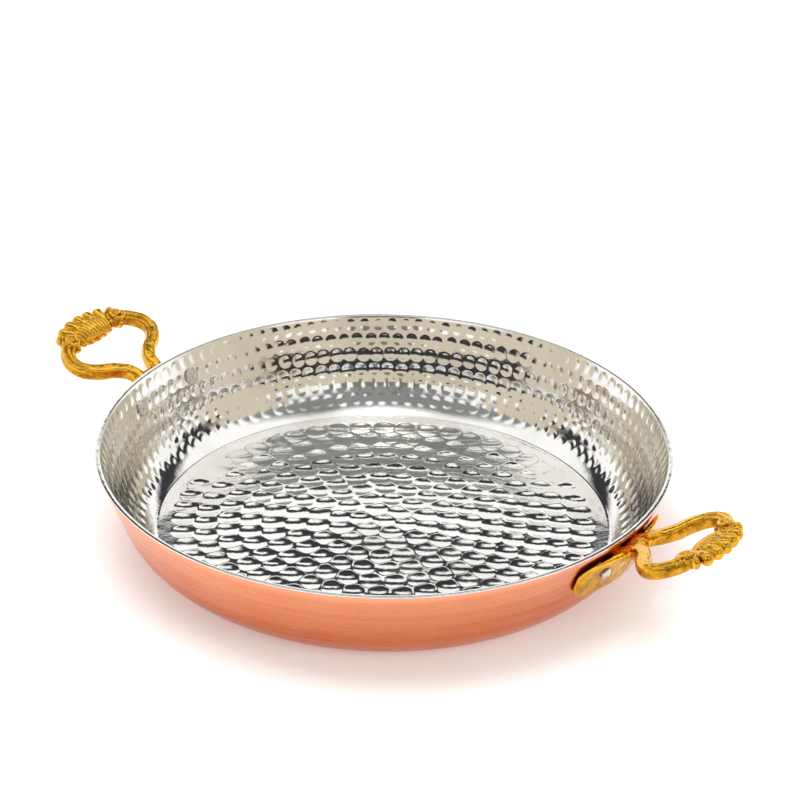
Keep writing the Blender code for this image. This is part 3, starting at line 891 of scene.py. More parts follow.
def disc_mesh(name, skin, back, rings, upward):
    """A thin closed disc. Each ring of its skin has six more points than the one inside it."""
    edge = skin[0][0]
    places = [(0.0, 0.0, float(skin[-1][1]))]
    firsts, sizes, faces = [0], [1], []

    def add_ring(radius, height, size):
        firsts.append(len(places))
        sizes.append(size)
        angles = np.arange(size) * FULL_TURN / size
        x_places = (radius * np.cos(angles)).tolist()
        y_places = (radius * np.sin(angles)).tolist()
        places.extend(zip(x_places, y_places, [height] * size))

    inwards = np.array(skin)[::-1]
    for ring in range(1, rings + 1):
        radius = (edge - SEAM_STEP) * ring / rings
        add_ring(radius, float(np.interp(radius, inwards[:, 0], inwards[:, 1])), DISC_SIDES * ring)
        inner, outer = firsts[-2], firsts[-1]
        for sector in range(DISC_SIDES):
            for i in range(ring):
                here = inner + (sector * (ring - 1) + i) % sizes[-2]
                after = inner + (sector * (ring - 1) + i + 1) % sizes[-2]
                beyond = outer + (sector * ring + i) % sizes[-1]
                next_beyond = outer + (sector * ring + i + 1) % sizes[-1]
                faces.append((here, beyond, next_beyond))
                if i < ring - 1:
                    faces.append((here, next_beyond, after))
    size = sizes[-1]
    add_ring(edge, skin[0][1], size)
    for radius, height in back[:-1]:
        add_ring(radius, height, size)
    for first in range(len(firsts) - len(back), len(firsts)):
        for i in range(size):
            j = (i + 1) % size
            faces.append((firsts[first - 1] + i, firsts[first] + i, firsts[first] + j, firsts[first - 1] + j))
    centre = len(places)
    places.append((0.0, 0.0, back[-1][1]))
    faces += [(firsts[-1] + i, centre, firsts[-1] + (i + 1) % size) for i in range(size)]
    if not upward:
        faces = [face[::-1] for face in faces]
    mesh = bpy.data.meshes.new(name)
    mesh.from_pydata(places, [], faces)
    levels = [1.0] * firsts[rings + 1] + [0.0] * (len(places) - firsts[rings + 1])
    store_levels(mesh, "worked", levels)
    mesh.update()
    return mesh


def tin_floor(pan):
    outer, inner = tin_depths(pan)
    skin = [inner_wall(pan)[-1]] + base(pan, inner)
    back = evenly([heel(pan, outer)[-1]] + base(pan, outer), HIDDEN_STEP)
    return disc_mesh("tin_floor", skin, back, DISC_RINGS, True)


class FRYINGPAN_OT_tin_coat(bpy.types.Operator):
    """Makes the tin coat: the hammered wall with its lip over the rim, and the hammered floor"""

    bl_idname = "fryingpan.tin_coat"
    bl_label = "Tin Coat"

    def execute(self, context):
        pan = settings().pan
        pieces = (
            (tin_upper_wall(pan), WALL_SOFTNESS, ["tin_lining"]),
            (tin_lower_wall(pan), WALL_SOFTNESS, []),
            (tin_floor(pan), FLOOR_SOFTNESS, []),
        )
        for mesh, softness, nodes in pieces:
            piece = hammered(new_object(mesh.name, mesh), "tin", 1.0, softness)
            finish_piece(piece, "tin", nodes)
        return {"FINISHED"}


# Copper pan

def copper_wall(pan):
    """The copper wall and heel, with the band below the rim."""
    top = pan.height - pan.tin - pan.gap
    inner_edge = wall_point(pan, drop_at_height(pan, top, -pan.copper), -pan.copper)
    outer_edge = wall_point(pan, drop_at_height(pan, top, 0.0), 0.0)
    band = [
        wall_point(pan, pan.band_top, pan.band_proud),
        wall_point(pan, pan.band_bottom - pan.band_proud, pan.band_proud),
        wall_point(pan, pan.band_bottom, 0.0),
    ]
    inside = evenly(heel(pan, pan.copper), COARSE_STEP)[::-1] + [inner_edge]
    skin = with_seam(evenly([band[-1]] + heel(pan, 0.0), FINE_STEP)[1:])
    points, worked = joined(hidden(inside), hidden([outer_edge] + band), shown(skin))
    return turned_mesh("copper_wall", points, WALL_SEGMENTS, worked)


def copper_base(pan):
    skin = [heel(pan, 0.0)[-1]] + base(pan, 0.0)
    top = evenly([heel(pan, pan.copper)[-1]] + base(pan, pan.copper), HIDDEN_STEP)
    return disc_mesh("copper_base", skin, top, DISC_RINGS, False)


def above_table(obj):
    """Brings every point that lies below the table up to it, so that the base rests flat on its ring."""
    places = vertex_places(obj.data)
    places[:, 2] = np.maximum(places[:, 2], 0.0)
    move_vertices(obj.data, places)


class FRYINGPAN_OT_copper(bpy.types.Operator):
    """Makes the copper pan, whose outside shows the hammer marks faintly"""

    bl_idname = "fryingpan.copper"
    bl_label = "Copper Pan"

    def execute(self, context):
        pan = settings().pan
        press = -settings().hammer.show_through
        for mesh, nodes in ((copper_wall(pan), ["pan_body"]), (copper_base(pan), [])):
            piece = hammered(new_object(mesh.name, mesh), "copper", press, COPPER_SOFTNESS)
            above_table(piece)
            finish_piece(piece, "copper", nodes)
        return {"FINISHED"}


# Handles

# Places on the half loop, in shares of its reach and of its width beyond the neck
LOOP_SHARES = (
    (0.20, 0.01),
    (0.35, 0.28),
    (0.46, 0.72),
    (0.63, 0.99),
    (0.81, 0.87),
    (0.93, 0.46),
)
LEG_ROOT_DEPTH = 0.0004
BAR_STATIONS = 220
SECTION_POINTS = 40
# Where the bar changes, in shares of its line from a leg's root
ROOT_SHARE = 0.16
FLUTE_START_SHARE = 0.22
FLUTE_FADE_SHARE = 0.07
SHELL_START_SHARE = 0.38
SHELL_FADE_SHARE = 0.05
# How much less of its section the bar has there
ROOT_NARROW_SHARE = 0.08
ROOT_LOW_SHARE = 0.10
SHELL_LOW_SHARE = 0.45
# The section's roundness over and under its middle, and its flutes in shares of its half width
TOP_SQUARENESS = 3.2
UNDER_SQUARENESS = 2.4
FLUTE_PLACE_SHARE = 0.40
FLUTE_WIDTH_SHARE = 0.20


def loop_frame(pan, handle):
    """The loop's plane: X runs outwards from below the rim, Y runs sideways, Z is square to both."""
    place = Matrix.Translation((pan.rim_radius, 0.0, pan.height - handle.loop_drop))
    return place @ Matrix.Rotation(-handle.loop_rise, 4, "Y")


def loop_line(pan, handle):
    """Places along the middle of the bar, from one leg's root to the other's."""
    plane = loop_frame(pan, handle)
    radius, height = wall_point(pan, handle.root_drop, LEG_ROOT_DEPTH)
    half = [Vector((radius, handle.neck_half_width, height))]
    for reach_share, side_share in LOOP_SHARES:
        side = handle.neck_half_width + side_share * (handle.loop_half_width - handle.neck_half_width)
        half.append(plane @ Vector((reach_share * handle.loop_reach, side, 0.0)))
    middle = plane @ Vector((handle.loop_reach, 0.0, 0.0))
    return half + [middle] + [Vector((place.x, -place.y, place.z)) for place in half[::-1]]


def smooth_line(places, stations):
    """A smooth curve through the places, as evenly spaced points."""
    curve = bpy.data.curves.new("line", "CURVE")
    curve.dimensions = "3D"
    curve.resolution_u = 32
    spline = curve.splines.new("BEZIER")
    spline.bezier_points.add(len(places) - 1)
    for point, place in zip(spline.bezier_points, places):
        point.co = place
        point.handle_left_type = "AUTO"
        point.handle_right_type = "AUTO"
    obj = new_object("line", curve)
    line = np.array([vert.co for vert in evaluated_mesh(obj).vertices])
    bpy.data.objects.remove(obj)
    reach = reach_along(line)
    wanted = np.linspace(0.0, reach[-1], stations)
    return np.stack([np.interp(wanted, reach, line[:, axis]) for axis in range(3)], axis=-1)


def bar_outline(handle, flutes):
    """The bar's section in shares of its size: flat sides, a round underside and two flutes on top."""
    points = []
    for i in range(SECTION_POINTS):
        turn = FULL_TURN * i / SECTION_POINTS
        across, upward = math.cos(turn), math.sin(turn)
        squareness = TOP_SQUARENESS if upward > 0.0 else UNDER_SQUARENESS
        reach = (abs(across) ** squareness + abs(upward) ** squareness) ** (-1.0 / squareness)
        place = reach * across
        from_flute = (abs(place) - FLUTE_PLACE_SHARE) / FLUTE_WIDTH_SHARE
        flute = math.exp(-(from_flute**2)) if upward > 0.0 else 0.0
        cut = 2.0 * handle.flute_depth / handle.bar_height * flute * flutes
        points.append((place, reach * upward - cut))
    return points


def swept(name, line, ups, widths, heights, outline):
    """A closed solid that follows a line with an outline, or one for each station, scaled there."""
    line = np.array(line)
    forward = np.gradient(line, axis=0)
    forward /= np.linalg.norm(forward, axis=1)[:, None]
    side = np.cross(forward, ups)
    side /= np.linalg.norm(side, axis=1)[:, None]
    up = np.cross(side, forward)
    outline = np.array(outline)
    outline = outline if outline.ndim == 3 else np.tile(outline, (len(line), 1, 1))
    across = outline[:, :, 0, None] * widths[:, None, None] * side[:, None, :] / 2.0
    upward = outline[:, :, 1, None] * heights[:, None, None] * up[:, None, :] / 2.0
    verts = line[:, None, :] + across + upward
    sides = verts.shape[1]
    shape = bmesh.new()
    rings = [[shape.verts.new(co) for co in ring] for ring in verts]
    for first, second in zip(rings, rings[1:]):
        for i in range(sides):
            j = (i + 1) % sides
            shape.faces.new((first[i], first[j], second[j], second[i]))
    shape.faces.new(rings[0][::-1])
    shape.faces.new(rings[-1])
    bmesh.ops.recalc_face_normals(shape, faces=shape.faces)
    return object_from(name, shape)


def round_outline(sides):
    return [(math.cos(FULL_TURN * i / sides), math.sin(FULL_TURN * i / sides)) for i in range(sides)]


def tube(name, line, radii, up, sides=12):
    """A round bar along a line, with a radius for each station."""
    radii = np.array(radii)
    ups = np.tile(np.array(up, float), (len(line), 1))
    return swept(name, line, ups, 2.0 * radii, 2.0 * radii, round_outline(sides))


def fluted_bar(pan, handle):
    """The bar of the loop, thinner at its roots and in the shell, its flutes faded at the neck."""
    line = smooth_line(loop_line(pan, handle), BAR_STATIONS)
    normal = np.array(loop_frame(pan, handle).to_3x3() @ Vector((0.0, 0.0, 1.0)))
    reach = np.linspace(0.0, 1.0, BAR_STATIONS)
    from_root = np.minimum(reach, 1.0 - reach)
    near_root = np.clip(1.0 - from_root / ROOT_SHARE, 0.0, 1.0)
    flutes = np.clip((from_root - FLUTE_START_SHARE) / FLUTE_FADE_SHARE, 0.0, 1.0)
    in_shell = np.clip((from_root - SHELL_START_SHARE) / SHELL_FADE_SHARE, 0.0, 1.0)
    widths = handle.bar_width * (1.0 - ROOT_NARROW_SHARE * near_root)
    heights = handle.bar_height * (1.0 - ROOT_LOW_SHARE * near_root - SHELL_LOW_SHARE * in_shell)
    outlines = [bar_outline(handle, share) for share in flutes]
    ups = np.tile(normal, (BAR_STATIONS, 1))
    return swept("bar", line, ups, widths, heights, outlines)


def plate_half_length(handle, across):
    half_height = (handle.plate_bottom - handle.plate_top) / 2.0
    into_corner = max(0.0, abs(across) - (half_height - handle.corner_radius))
    rounding = handle.corner_radius - math.sqrt(max(0.0, handle.corner_radius**2 - into_corner**2))
    return handle.plate_length / 2.0 - rounding


def plate_thickness(handle, along):
    part = 2.0 * along / handle.plate_length
    return handle.plate_thickness + (handle.plate_end - handle.plate_thickness) * part**2


def plate_point(pan, handle, rivet, along, across, thickness=None):
    """A point on the plate's back, or on its front where it is this thick below the top relief."""
    drop = (handle.plate_top + handle.plate_bottom) / 2.0 + across
    above_rivets = max(0.0, rivet.drop - drop) / (rivet.drop - handle.plate_top)
    farther = pan.rim_radius * (rivet.half_angle + rivet.shift)
    past_rivets = max(0.0, abs(along) - farther) / (handle.plate_length / 2.0 - farther)
    proud = handle.top_relief * above_rivets**2 if thickness is None else thickness
    proud += pan.gap + handle.end_relief * past_rivets**2
    radius, height = wall_point(pan, drop, proud)
    turn = along / pan.rim_radius
    return Vector((radius * math.cos(turn), radius * math.sin(turn), height))


def plate(pan, handle, rivet):
    """The riveted plate, bent to the wall, thick at its middle, with bevelled ends."""
    columns, rows = 90, 30
    half_height = (handle.plate_bottom - handle.plate_top) / 2.0
    edge, bevel_depth, bevel_length = 0.0007, 0.0011, 0.0036
    shape = bmesh.new()
    back, front = [], []
    for j in range(rows + 1):
        across = -half_height * math.cos(HALF_TURN * j / rows)
        back_row, front_row = [], []
        for i in range(columns + 1):
            part = -math.cos(HALF_TURN * i / columns)
            along = part * plate_half_length(handle, across)
            from_end = plate_half_length(handle, across) - abs(along)
            bevel = bevel_depth * max(0.0, 1.0 - from_end / bevel_length)
            rounding = edge * max(0.0, (abs(across) / half_height - 0.92) / 0.08) ** 2
            thick = plate_thickness(handle, along) - max(bevel, rounding)
            back_row.append(shape.verts.new(plate_point(pan, handle, rivet, along, across)))
            front_row.append(shape.verts.new(plate_point(pan, handle, rivet, along, across, thick)))
        back.append(back_row)
        front.append(front_row)
    for j in range(rows):
        for i in range(columns):
            shape.faces.new((back[j][i], back[j][i + 1], back[j + 1][i + 1], back[j + 1][i]))
            shape.faces.new((front[j][i], front[j + 1][i], front[j + 1][i + 1], front[j][i + 1]))
    for i in range(columns):
        shape.faces.new((back[0][i], front[0][i], front[0][i + 1], back[0][i + 1]))
        shape.faces.new((back[rows][i], back[rows][i + 1], front[rows][i + 1], front[rows][i]))
    for j in range(rows):
        shape.faces.new((back[j][0], back[j + 1][0], front[j + 1][0], front[j][0]))
        shape.faces.new((back[j][columns], front[j][columns], front[j + 1][columns], back[j + 1][columns]))
    bmesh.ops.remove_doubles(shape, verts=shape.verts, dist=MERGE_DISTANCE)
    bmesh.ops.recalc_face_normals(shape, faces=shape.faces)
    return object_from("plate", shape)


def plate_ridge(pan, handle, rivet, side):
    """The ridge along the plate's top edge, which runs on into the leg's outer edge."""
    plane = loop_frame(pan, handle)
    half_height = (handle.plate_bottom - handle.plate_top) / 2.0
    places = []
    for part in (0.90, 0.80, 0.68, 0.54, 0.40, 0.30):
        across = -half_height + handle.ridge_radius * (1.0 + 1.6 * part**6)
        along = side * part * plate_half_length(handle, across)
        thick = plate_thickness(handle, along)
        places.append(plate_point(pan, handle, rivet, along, across, thick - 0.5 * handle.ridge_radius))
    neck = handle.neck_half_width
    half_bar = handle.bar_height / 2.0
    for reach, sideways, height in ((0.10, 1.18, 0.0), (0.21, 1.28, 0.55), (0.31, 1.70, 0.66)):
        places.append(plane @ Vector((reach * handle.loop_reach, side * sideways * neck, height * half_bar)))
    stations = 90
    line = smooth_line(places, stations)
    reach = np.linspace(0.0, 1.0, stations)
    growth = 0.45 + 1.35 * np.exp(-(((reach - 0.66) / 0.20) ** 2))
    radii = handle.ridge_radius * growth
    return tube(f"ridge_{side}", line, radii, (0.0, 0.0, 1.0))


def ellipsoid(name, place, size):
    shape = bmesh.new()
    bmesh.ops.create_uvsphere(shape, u_segments=40, v_segments=20, radius=1.0)
    bmesh.ops.transform(shape, matrix=place @ Matrix.Diagonal((*size, 1.0)), verts=shape.verts)
    return object_from(name, shape)


def shell_places(handle, share):
    """Middles of the outer and the inner bead of a lobe this share of the way to the shell's end."""
    outer_side = share * (handle.shell_width / 2.0 - handle.bead_radius)
    fall = handle.fan_radius - math.sqrt(handle.fan_radius**2 - outer_side**2)
    outer = Vector((handle.shell_outer - handle.bead_radius - fall, outer_side, -0.0006))
    inner = Vector((handle.inner_bead_radius - handle.shell_inner + 0.5 * fall, 0.74 * outer_side, -0.0010))
    return outer, inner


HUMP_PLACE = Vector((-0.0013, 0.0, -0.0008))
HUMP_WIDTH_SHARE = 0.98


def hump_height(handle, along, across):
    """Height of the shell's hump over the loop's plane at this place."""
    reach = (2.0 * (along - HUMP_PLACE.x) / handle.hump_length) ** 2
    reach += (2.0 * across / (HUMP_WIDTH_SHARE * handle.shell_width)) ** 2
    return HUMP_PLACE.z + (handle.hump_top - HUMP_PLACE.z) * math.sqrt(max(0.0, 1.0 - reach))


def shell_lobe(middle, handle, share):
    """Places and radii of a lobe's round back, which narrows inwards from its outer bead into the hump."""
    outer, inner = shell_places(handle, share)
    line, radii = [], []
    stations = 20
    for i in range(stations + 1):
        part = i / stations
        place = outer.lerp(inner, 0.66 * part)
        radius = handle.bead_radius * (1.03 - 0.42 * part)
        top = outer.z + handle.bead_height / 2.0 + 0.0006 * math.sin(HALF_TURN * part) - 0.0004 * part
        line.append(middle @ Vector((place.x, place.y, top - radius - 0.0003 * share**2)))
        radii.append(radius)
    return line, radii


def shell_rib(middle, handle, share):
    """A fine rib from the hump's inner foot over its top."""
    outer, inner = shell_places(handle, share)
    line = []
    stations = 30
    for i in range(stations + 1):
        place = inner.lerp(outer, 0.70 * i / stations)
        height = hump_height(handle, place.x, place.y) + handle.rib_proud - handle.rib_radius
        line.append(middle @ Vector((place.x, place.y, height)))
    return line


def shell(pan, handle):
    """The shell: fat lobes that fan out from a hump with fine ribs, and beads on its inner edge."""
    middle = loop_frame(pan, handle) @ Matrix.Translation((handle.loop_reach, 0.0, 0.0))
    hump_half_width = HUMP_WIDTH_SHARE * handle.shell_width / 2.0
    size = (handle.hump_length / 2.0, hump_half_width, handle.hump_top - HUMP_PLACE.z)
    pieces = [ellipsoid("shell_hump", middle @ Matrix.Translation(HUMP_PLACE), size)]
    sideways = np.array(middle.to_3x3() @ Vector((0.0, 1.0, 0.0)))
    for lobe in range(handle.lobes):
        share = 2.0 * lobe / (handle.lobes - 1) - 1.0
        outer, inner = shell_places(handle, share)
        crown = 1.0 - 0.06 * abs(share)
        size = (handle.bead_radius, handle.bead_radius * 1.05, crown * handle.bead_height / 2.0)
        pieces.append(ellipsoid(f"bead_{lobe}", middle @ Matrix.Translation(outer), size))
        bead_half_height = crown * handle.inner_bead_height / 2.0
        size = (handle.inner_bead_radius, 1.3 * handle.inner_bead_radius, bead_half_height)
        pieces.append(ellipsoid(f"inner_bead_{lobe}", middle @ Matrix.Translation(inner), size))
        line, radii = shell_lobe(middle, handle, share)
        pieces.append(tube(f"lobe_{lobe}", line, radii, sideways, 28))
    for rib in range(handle.ribs):
        share = 2.0 * rib / (handle.ribs - 1) - 1.0
        line = shell_rib(middle, handle, share)
        pieces.append(tube(f"rib_{rib}", line, [handle.rib_radius] * len(line), sideways, 12))
    return pieces


def scroll(pan, handle, side):
    """A scroll beside the shell: a low boss with a wire wound inwards on it, and an eye."""
    reach = 0.93 * handle.loop_reach
    sideways = side * (handle.neck_half_width + 0.50 * (handle.loop_half_width - handle.neck_half_width))
    place = loop_frame(pan, handle) @ Matrix.Translation((reach, sideways, 0.0))
    outer = handle.scroll_radius - handle.wire_radius
    inner = 1.9 * handle.wire_radius
    line, radii = [], []
    stations = 70
    for i in range(stations):
        part = i / (stations - 1)
        radius = outer + (inner - outer) * part
        turn = SQUARE_TURN + FULL_TURN * 1.12 * part
        height = handle.scroll_height + 0.0004 * part
        line.append(place @ Vector((radius * math.cos(turn), side * radius * math.sin(turn), height)))
        radii.append(handle.wire_radius * (1.15 - 0.3 * part))
    normal = np.array(place.to_3x3() @ Vector((0.0, 0.0, 1.0)))
    wire = tube(f"scroll_wire_{side}", line, radii, normal, 12)
    foot = -0.30 * handle.bar_height
    top = handle.scroll_height - 0.6 * handle.wire_radius
    axis = [place @ Vector((0.0, 0.0, foot + (top - foot) * i / 8.0)) for i in range(9)]
    across = np.array(place.to_3x3() @ Vector((1.0, 0.0, 0.0)))
    boss = tube(f"scroll_boss_{side}", axis, [handle.scroll_radius * 0.96] * 9, across, 32)
    knob, small = handle.knob_radius, 0.8 * handle.knob_radius
    eye = place @ Matrix.Translation((0.0, 0.0, handle.scroll_height))
    outer_knob = place @ Matrix.Translation((0.0050, side * 0.0012, 0.0))
    inner_knob = place @ Matrix.Translation((-0.0042, -side * 0.0010, 0.0))
    knobs = [
        ellipsoid(f"scroll_eye_{side}", eye, (handle.eye_radius,) * 3),
        ellipsoid(f"outer_knob_{side}", outer_knob, (knob, knob, 1.35 * knob)),
        ellipsoid(f"inner_knob_{side}", inner_knob, (small, small, 1.3 * small)),
    ]
    return [wire, boss, *knobs]


def neck_web(pan, handle):
    """The cast web that joins the two legs and the plate."""
    plane = loop_frame(pan, handle)
    middle = plane @ Matrix.Translation((0.05 * handle.loop_reach, 0.0, -0.24 * handle.bar_height))
    size = (0.125 * handle.loop_reach, 1.3 * handle.neck_half_width, handle.web_height / 2.0)
    return [ellipsoid("web", middle, size)]


CAST_SHARE = 0.66
MELT_STEPS = 4


def melted(pieces, name, voxel):
    """One casting from overlapping pieces, its inner corners softly filled."""
    shape = bmesh.new()
    for piece in pieces:
        shape.from_mesh(piece.data)
        bpy.data.objects.remove(piece)
    obj = object_from(name, shape)
    remesh = obj.modifiers.new("Melt", "REMESH")
    remesh.mode = "VOXEL"
    remesh.voxel_size = voxel
    remesh.use_smooth_shade = True
    smooth = obj.modifiers.new("Soften", "SMOOTH")
    smooth.factor = 0.5
    smooth.iterations = MELT_STEPS
    thin = obj.modifiers.new("Thin", "DECIMATE")
    thin.ratio = CAST_SHARE
    return applied(obj)


def neighbours(mesh):
    edges = np.empty(len(mesh.edges) * 2, np.int32)
    mesh.edges.foreach_get("vertices", edges)
    return edges.reshape(-1, 2)


def averaged(values, edges, size):
    """The mean of each point's neighbours."""
    total = np.zeros((size, values.shape[1]))
    amount = np.zeros(size)
    for here, there in ((0, 1), (1, 0)):
        for axis in range(values.shape[1]):
            total[:, axis] += np.bincount(edges[:, here], values[edges[:, there], axis], size)
        amount += np.bincount(edges[:, here], minlength=size)
    return total / np.maximum(amount, 1.0)[:, None]


# How dark the brass is on its open skin: grooves add patina, the sides and more so the loop's sides add
# painted shade, and the neck takes darkness away as painted light
HOLLOW_REACH = 0.00022
HOLLOW_STEPS = 12
BLUR_STEPS = 2
OPEN_LEVEL = 0.35
HOLLOW_LEVEL = 0.55
# Painted shade on the sides of the handle and of its loop
SIDE_SHADE_LEVEL = 0.28
LOOP_SIDE_SHADE_LEVEL = 0.20
# Painted light at the neck: less darkness there, and most of the patina of its grooves lifted
NECK_LIGHT_LEVEL = 0.2
NECK_FREE_SHARE = 0.9
NECK_CRUMPLE = 1.6


def neck_share(places, pan, handle):
    """1 on the crumpled web between the legs and the plate, 0 away from it."""
    beyond = np.abs(places[:, 0] - pan.rim_radius - 0.05 * handle.loop_reach) / handle.neck_half_width
    across = np.abs(places[:, 1]) / (1.3 * handle.neck_half_width)
    return np.clip(1.6 - beyond, 0.0, 1.0) * np.clip(1.6 - across, 0.0, 1.0)


def mark_hollows_and_shade(mesh, pan, handle):
    """Stores how dark the brass is at each point: 0 on rubbed ridges, more on the sides as painted shade,
    less at the neck as painted light, 1 with patina in grooves.
    """
    places = vertex_places(mesh)
    normals = vertex_normals(mesh)
    size = len(places)
    edges = neighbours(mesh)
    smooth = places
    for _ in range(HOLLOW_STEPS):
        smooth = averaged(smooth, edges, size)
    hollow = np.einsum("ij,ij->i", smooth - places, normals) / HOLLOW_REACH
    upward = normals @ np.array(loop_frame(pan, handle).to_3x3() @ Vector((0.0, 0.0, 1.0)))
    beyond = places[:, 0] - pan.rim_radius - handle.corner_radius / 4.0
    on_loop = np.clip(beyond / handle.corner_radius, 0.0, 1.0)
    # Painted shade: faces turned sideways from the loop's plane are painted darker
    sideways = 1.0 - np.clip(1.4 * upward, 0.0, 1.0)
    at_neck = neck_share(places, pan, handle)
    # Painted light at the neck, painted shade on the sides
    level = OPEN_LEVEL + HOLLOW_LEVEL * hollow * (1.0 - NECK_FREE_SHARE * at_neck)
    level += (SIDE_SHADE_LEVEL + LOOP_SIDE_SHADE_LEVEL * on_loop) * sideways - NECK_LIGHT_LEVEL * at_neck
    level = np.clip(level, 0.0, 1.0)[:, None]
    for _ in range(BLUR_STEPS):
        level = averaged(level, edges, size)
    store_levels(mesh, "hollow", level[:, 0])


def roughened(mesh, pan, handle):
    """Moves the points of a casting slightly along their normals, and more at its neck."""
    places = vertex_places(mesh)
    normals = vertex_normals(mesh)
    waves = [noise.noise(Vector(co) * 260.0) + 0.5 * noise.noise(Vector(co) * 620.0) for co in places]
    amounts = handle.unevenness * (1.0 + NECK_CRUMPLE * neck_share(places, pan, handle))
    move_vertices(mesh, places + normals * (np.array(waves) * amounts)[:, None])


class FRYINGPAN_OT_handles(bpy.types.Operator):
    """Makes the two cast handles: fluted loop, ribbed shell, scrolls and riveted plate"""

    bl_idname = "fryingpan.handles"
    bl_label = "Handles"

    def execute(self, context):
        pan, handle, rivet = settings().pan, settings().handle, settings().rivet
        pieces = [fluted_bar(pan, handle), plate(pan, handle, rivet)]
        pieces += shell(pan, handle) + neck_web(pan, handle)
        for side in (-1, 1):
            pieces += [*scroll(pan, handle, side), plate_ridge(pan, handle, rivet, side)]
        right = melted(pieces, "cast_handle_right", handle.voxel)
        roughened(right.data, pan, handle)
        mark_hollows_and_shade(right.data, pan, handle)
        left = new_object("cast_handle_left", right.data.copy())
        left.data.transform(Matrix.Rotation(HALF_TURN, 4, "Z"))
        finish_piece(right, "brass", ["handle_right"])
        finish_piece(left, "brass", ["handle_left"])
        return {"FINISHED"}


# Rivets

RIVET_SEGMENTS = 48
RIVET_DOME_STEPS = 12
RIVET_EDGE_STEPS = 6
RIVET_EDGE_RADIUS = 0.0003
BEATEN_SCALE = 700.0
BEATEN_DEPTH = 0.00012


def rivet_frames(rivet, pan):
    """Places of the four rivets, their Z square to the wall."""
    radius, height = wall_point(pan, rivet.drop, 0.0)
    frames = []
    for turn in (0.0, HALF_TURN):
        for side in (-1, 1):
            a = turn + side * rivet.half_angle + rivet.shift
            place = Vector((radius * math.cos(a), radius * math.sin(a), height))
            slope = math.cos(pan.slant)
            normal = Vector((slope * math.cos(a), slope * math.sin(a), -math.sin(pan.slant)))
            frames.append((place, normal, side))
    return frames


def rivet_mesh(pan, handle, rivet):
    """One rivet, with its outer head on the nearer side of the plate's taper."""
    thick = plate_thickness(handle, pan.rim_radius * (rivet.half_angle - rivet.shift) - rivet.outer_radius)
    seat = 2.0 * pan.gap + thick
    head, rise = rivet.outer_radius, rivet.outer_height
    dome_radius = (head**2 + rise**2) / (2.0 * rise)
    dome_angle = math.asin(head / dome_radius)
    centre = (0.0, seat + rise - dome_radius)
    dome = arc(centre, dome_radius, SQUARE_TURN, SQUARE_TURN - dome_angle, RIVET_DOME_STEPS)
    dome[0] = (0.0, seat + rise)
    edge = RIVET_EDGE_RADIUS
    end = -rivet.inner_seat - rivet.inner_height
    rounded = arc((rivet.inner_radius - edge, end + edge), edge, 0.0, -SQUARE_TURN, RIVET_EDGE_STEPS)
    shank = [(rivet.shank_radius, seat), (rivet.shank_radius, -rivet.inner_seat)]
    flat = [(rivet.inner_radius * part, end) for part in (0.8, 0.6, 0.4, 0.2, 0.0)]
    profile = dome + shank + [(rivet.inner_radius, -rivet.inner_seat)] + rounded + flat
    mesh = turned_mesh("rivet", profile, RIVET_SEGMENTS, [0.0] * len(profile))
    for vert in mesh.vertices:
        vert.co.z += noise.noise(vert.co * BEATEN_SCALE) * BEATEN_DEPTH
    return mesh


def rivet_tree():
    """Geometry nodes that set a rivet on each point, turned along the point's own direction."""
    inputs = {"Geometry": "NodeSocketGeometry", "Rivet": "NodeSocketObject", "Material": "NodeSocketMaterial"}
    tree, make, given = new_tree("set_rivets", inputs)
    rivet = make.node("GeometryNodeObjectInfo", None, {"Object": given.output("Rivet")}).output("Geometry")
    vectors = {"data_type": "FLOAT_VECTOR"}
    direction = make.node("GeometryNodeInputNamedAttribute", vectors, {"Name": "direction"})
    turn = make.node("FunctionNodeAlignRotationToVector", {"axis": "Z"}, {"Vector": direction})
    set_out = make.node(
        "GeometryNodeInstanceOnPoints",
        None,
        {"Points": given.output("Geometry"), "Instance": rivet, "Rotation": turn},
    )
    end_tree(make, set_out, given.output("Material"))
    return tree


class FRYINGPAN_OT_rivets(bpy.types.Operator):
    """Sets the four rivets, with a domed head outside and a flat one inside"""

    bl_idname = "fryingpan.rivets"
    bl_label = "Rivets"

    def execute(self, context):
        pan, handle, rivet = settings().pan, settings().handle, settings().rivet
        pattern = new_object("rivet_pattern", rivet_mesh(pan, handle, rivet))
        frames = rivet_frames(rivet, pan)
        points = bpy.data.meshes.new("rivets")
        points.from_pydata([place for place, _, _ in frames], [], [])
        directions = [value for _, normal, _ in frames for value in normal]
        points.attributes.new("direction", "FLOAT_VECTOR", "POINT").data.foreach_set("vector", directions)
        rivets = new_object("rivets", points)
        run_tree(rivets, rivet_tree(), {"Rivet": pattern, "Material": metal("rivet_metal")})
        bpy.data.objects.remove(pattern)
        shade_round(rivets.data, 35.0)
        nodes = [f"rivet_{side}_{place}" for side in ("left", "right") for place in ("front", "back")]
        finish_piece(rivets, "rivet_metal", nodes)
        return {"FINISHED"}


# Studio

FLOOR_HALF_WIDTH = 4.0
FLOOR_ROUGHNESS = 0.9
VIEW_DEPTH = 50.0
SOFT_LIGHT_SIZE = (1.2, 1.2)
SOFT_LIGHT_PLACE = Vector((-0.3, 0.2, 1.7))
SOFT_LIGHT_TARGET = Vector((0.0, 0.0, 0.0))
SIDE_LIGHT_SIZE = (0.5, 0.9)
SIDE_LIGHT_PLACE = Vector((1.3, -1.0, 0.9))
SIDE_LIGHT_TARGET = Vector((0.0, 0.0, 0.02))
# What the metal mirrors, in degrees: first and last angle of each band, and how soft its edges are
FAR_ROOM_BAND = (-24.0, 20.0, 3.0)
WINDOW_BAND = (-7.0, 7.0, 1.5)
WINDOW_HEIGHT_BAND = (34.25, 42.25, 0.25)
SHADOW_BAND = (-60.0, 20.0, 4.0)
SCREENS_BAND = (-52.0, 50.0, 4.0)
MIDDLE_BAND = (-15.0, 19.0, 4.0)
BEHIND_SHARE = 0.35
FACING_EDGE = 0.10


